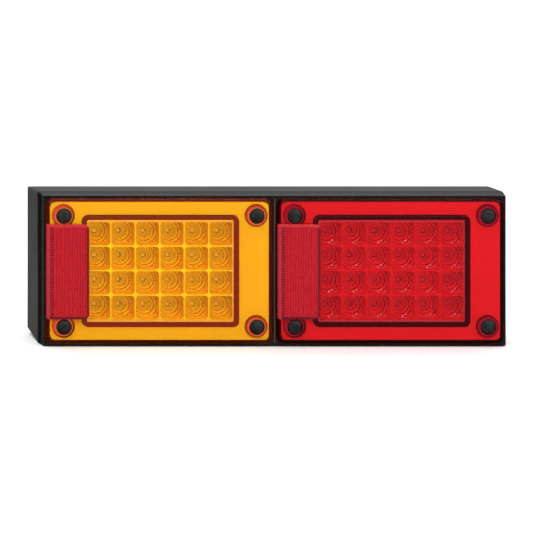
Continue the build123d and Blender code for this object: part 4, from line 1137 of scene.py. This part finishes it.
world = bpy.data.worlds.new("studio")
scene.world = world
world.use_nodes = True
nt = world.node_tree
nt.nodes.clear()
out = nt.nodes.new("ShaderNodeOutputWorld")
bg = nt.nodes.new("ShaderNodeBackground")
bg_glossy = nt.nodes.new("ShaderNodeBackground")
mixw = nt.nodes.new("ShaderNodeMixShader")
path = nt.nodes.new("ShaderNodeLightPath")
geo = nt.nodes.new("ShaderNodeNewGeometry")
sep = nt.nodes.new("ShaderNodeSeparateXYZ")
nt.links.new(geo.outputs["Incoming"], sep.inputs[0])
# what mirror-like surfaces see: a dark room below and in front, paler above and behind
up = nt.nodes.new("ShaderNodeMapRange")
up.interpolation_type = "SMOOTHSTEP"
nt.links.new(sep.outputs[2], up.inputs["Value"])
up.inputs["From Min"].default_value = 0.05
up.inputs["From Max"].default_value = -0.35
up.inputs["To Min"].default_value = 0.015
up.inputs["To Max"].default_value = 0.45
ahead = nt.nodes.new("ShaderNodeMapRange")
ahead.interpolation_type = "SMOOTHSTEP"
nt.links.new(sep.outputs[1], ahead.inputs["Value"])
ahead.inputs["From Min"].default_value = 0.3
ahead.inputs["From Max"].default_value = 0.9
ahead.inputs["To Min"].default_value = 0.0
ahead.inputs["To Max"].default_value = 0.10
both = nt.nodes.new("ShaderNodeMath")
both.operation = "ADD"
nt.links.new(up.outputs[0], both.inputs[0])
nt.links.new(ahead.outputs[0], both.inputs[1])
nt.links.new(both.outputs[0], bg_glossy.inputs["Strength"])
bg.inputs["Color"].default_value = (0.96, 0.965, 0.97, 1)
bg.inputs["Strength"].default_value = 0.85
nt.links.new(path.outputs["Is Glossy Ray"], mixw.inputs[0])
nt.links.new(bg.outputs[0], mixw.inputs[1])
nt.links.new(bg_glossy.outputs[0], mixw.inputs[2])
nt.links.new(mixw.outputs[0], out.inputs["Surface"])

scene.view_settings.view_transform = "Standard"
scene.view_settings.look = "None"
scene.view_settings.exposure = 0.0

# ------------------------------------------------------------------ camera ---
# A view camera: it looks square at the lit face from the left and above, and a
# shifted film brings the lamp back to the middle of the frame, so the face stays
# a true rectangle while the left end and the top still show.
DIST, PX_PER_MM = 6000.0, 1.533
FACE_Y = -36.0
CAM_X, CAM_Z = -0.308 * (DIST + 36.0), 0.2557 * (DIST + 36.0)
cam_data = bpy.data.cameras.new("camera")
cam_data.sensor_width = 36.0
cam_data.sensor_fit = "HORIZONTAL"
cam_data.lens = PX_PER_MM * DIST * 36.0 / 535.0
cam_data.clip_start, cam_data.clip_end = 0.1, 50.0
cam = bpy.data.objects.new("camera", cam_data)
cam.location = (CAM_X * MM, (FACE_Y - DIST) * MM, CAM_Z * MM)
cam.rotation_euler = (math.radians(90), 0, 0)
scene.collection.objects.link(cam)
scene.camera = cam
SHIFT_X = (267.5 - 274.7 - CAM_X * PX_PER_MM) / 535.0
SHIFT_Y = (270.7 - 267.5 - CAM_Z * PX_PER_MM) / 535.0
for path_name, shift in (("shift_x", SHIFT_X), ("shift_y", SHIFT_Y)):
    # the film is shifted only while the camera stands at its own place
    setattr(cam_data, path_name, shift)
    curve = cam_data.driver_add(path_name)
    curve.driver.type = "SUM"
    # twenty readings of the same place make the driver's sum steep enough to step
    for _ in range(20):
        var = curve.driver.variables.new()
        var.type = "TRANSFORMS"
        var.targets[0].id = cam
        var.targets[0].transform_type = "LOC_X"
        var.targets[0].transform_space = "WORLD_SPACE"
    for m in list(curve.modifiers):
        curve.modifiers.remove(m)
    at = cam.location[0] * 20
    while len(curve.keyframe_points):
        curve.keyframe_points.remove(curve.keyframe_points[0], fast=True)
    for dx, v in ((-0.10, 0.0), (-0.05, shift), (0.05, shift), (0.10, 0.0)):
        k = curve.keyframe_points.insert(at + dx, v)
        k.interpolation = "LINEAR"
    curve.extrapolation = "CONSTANT"
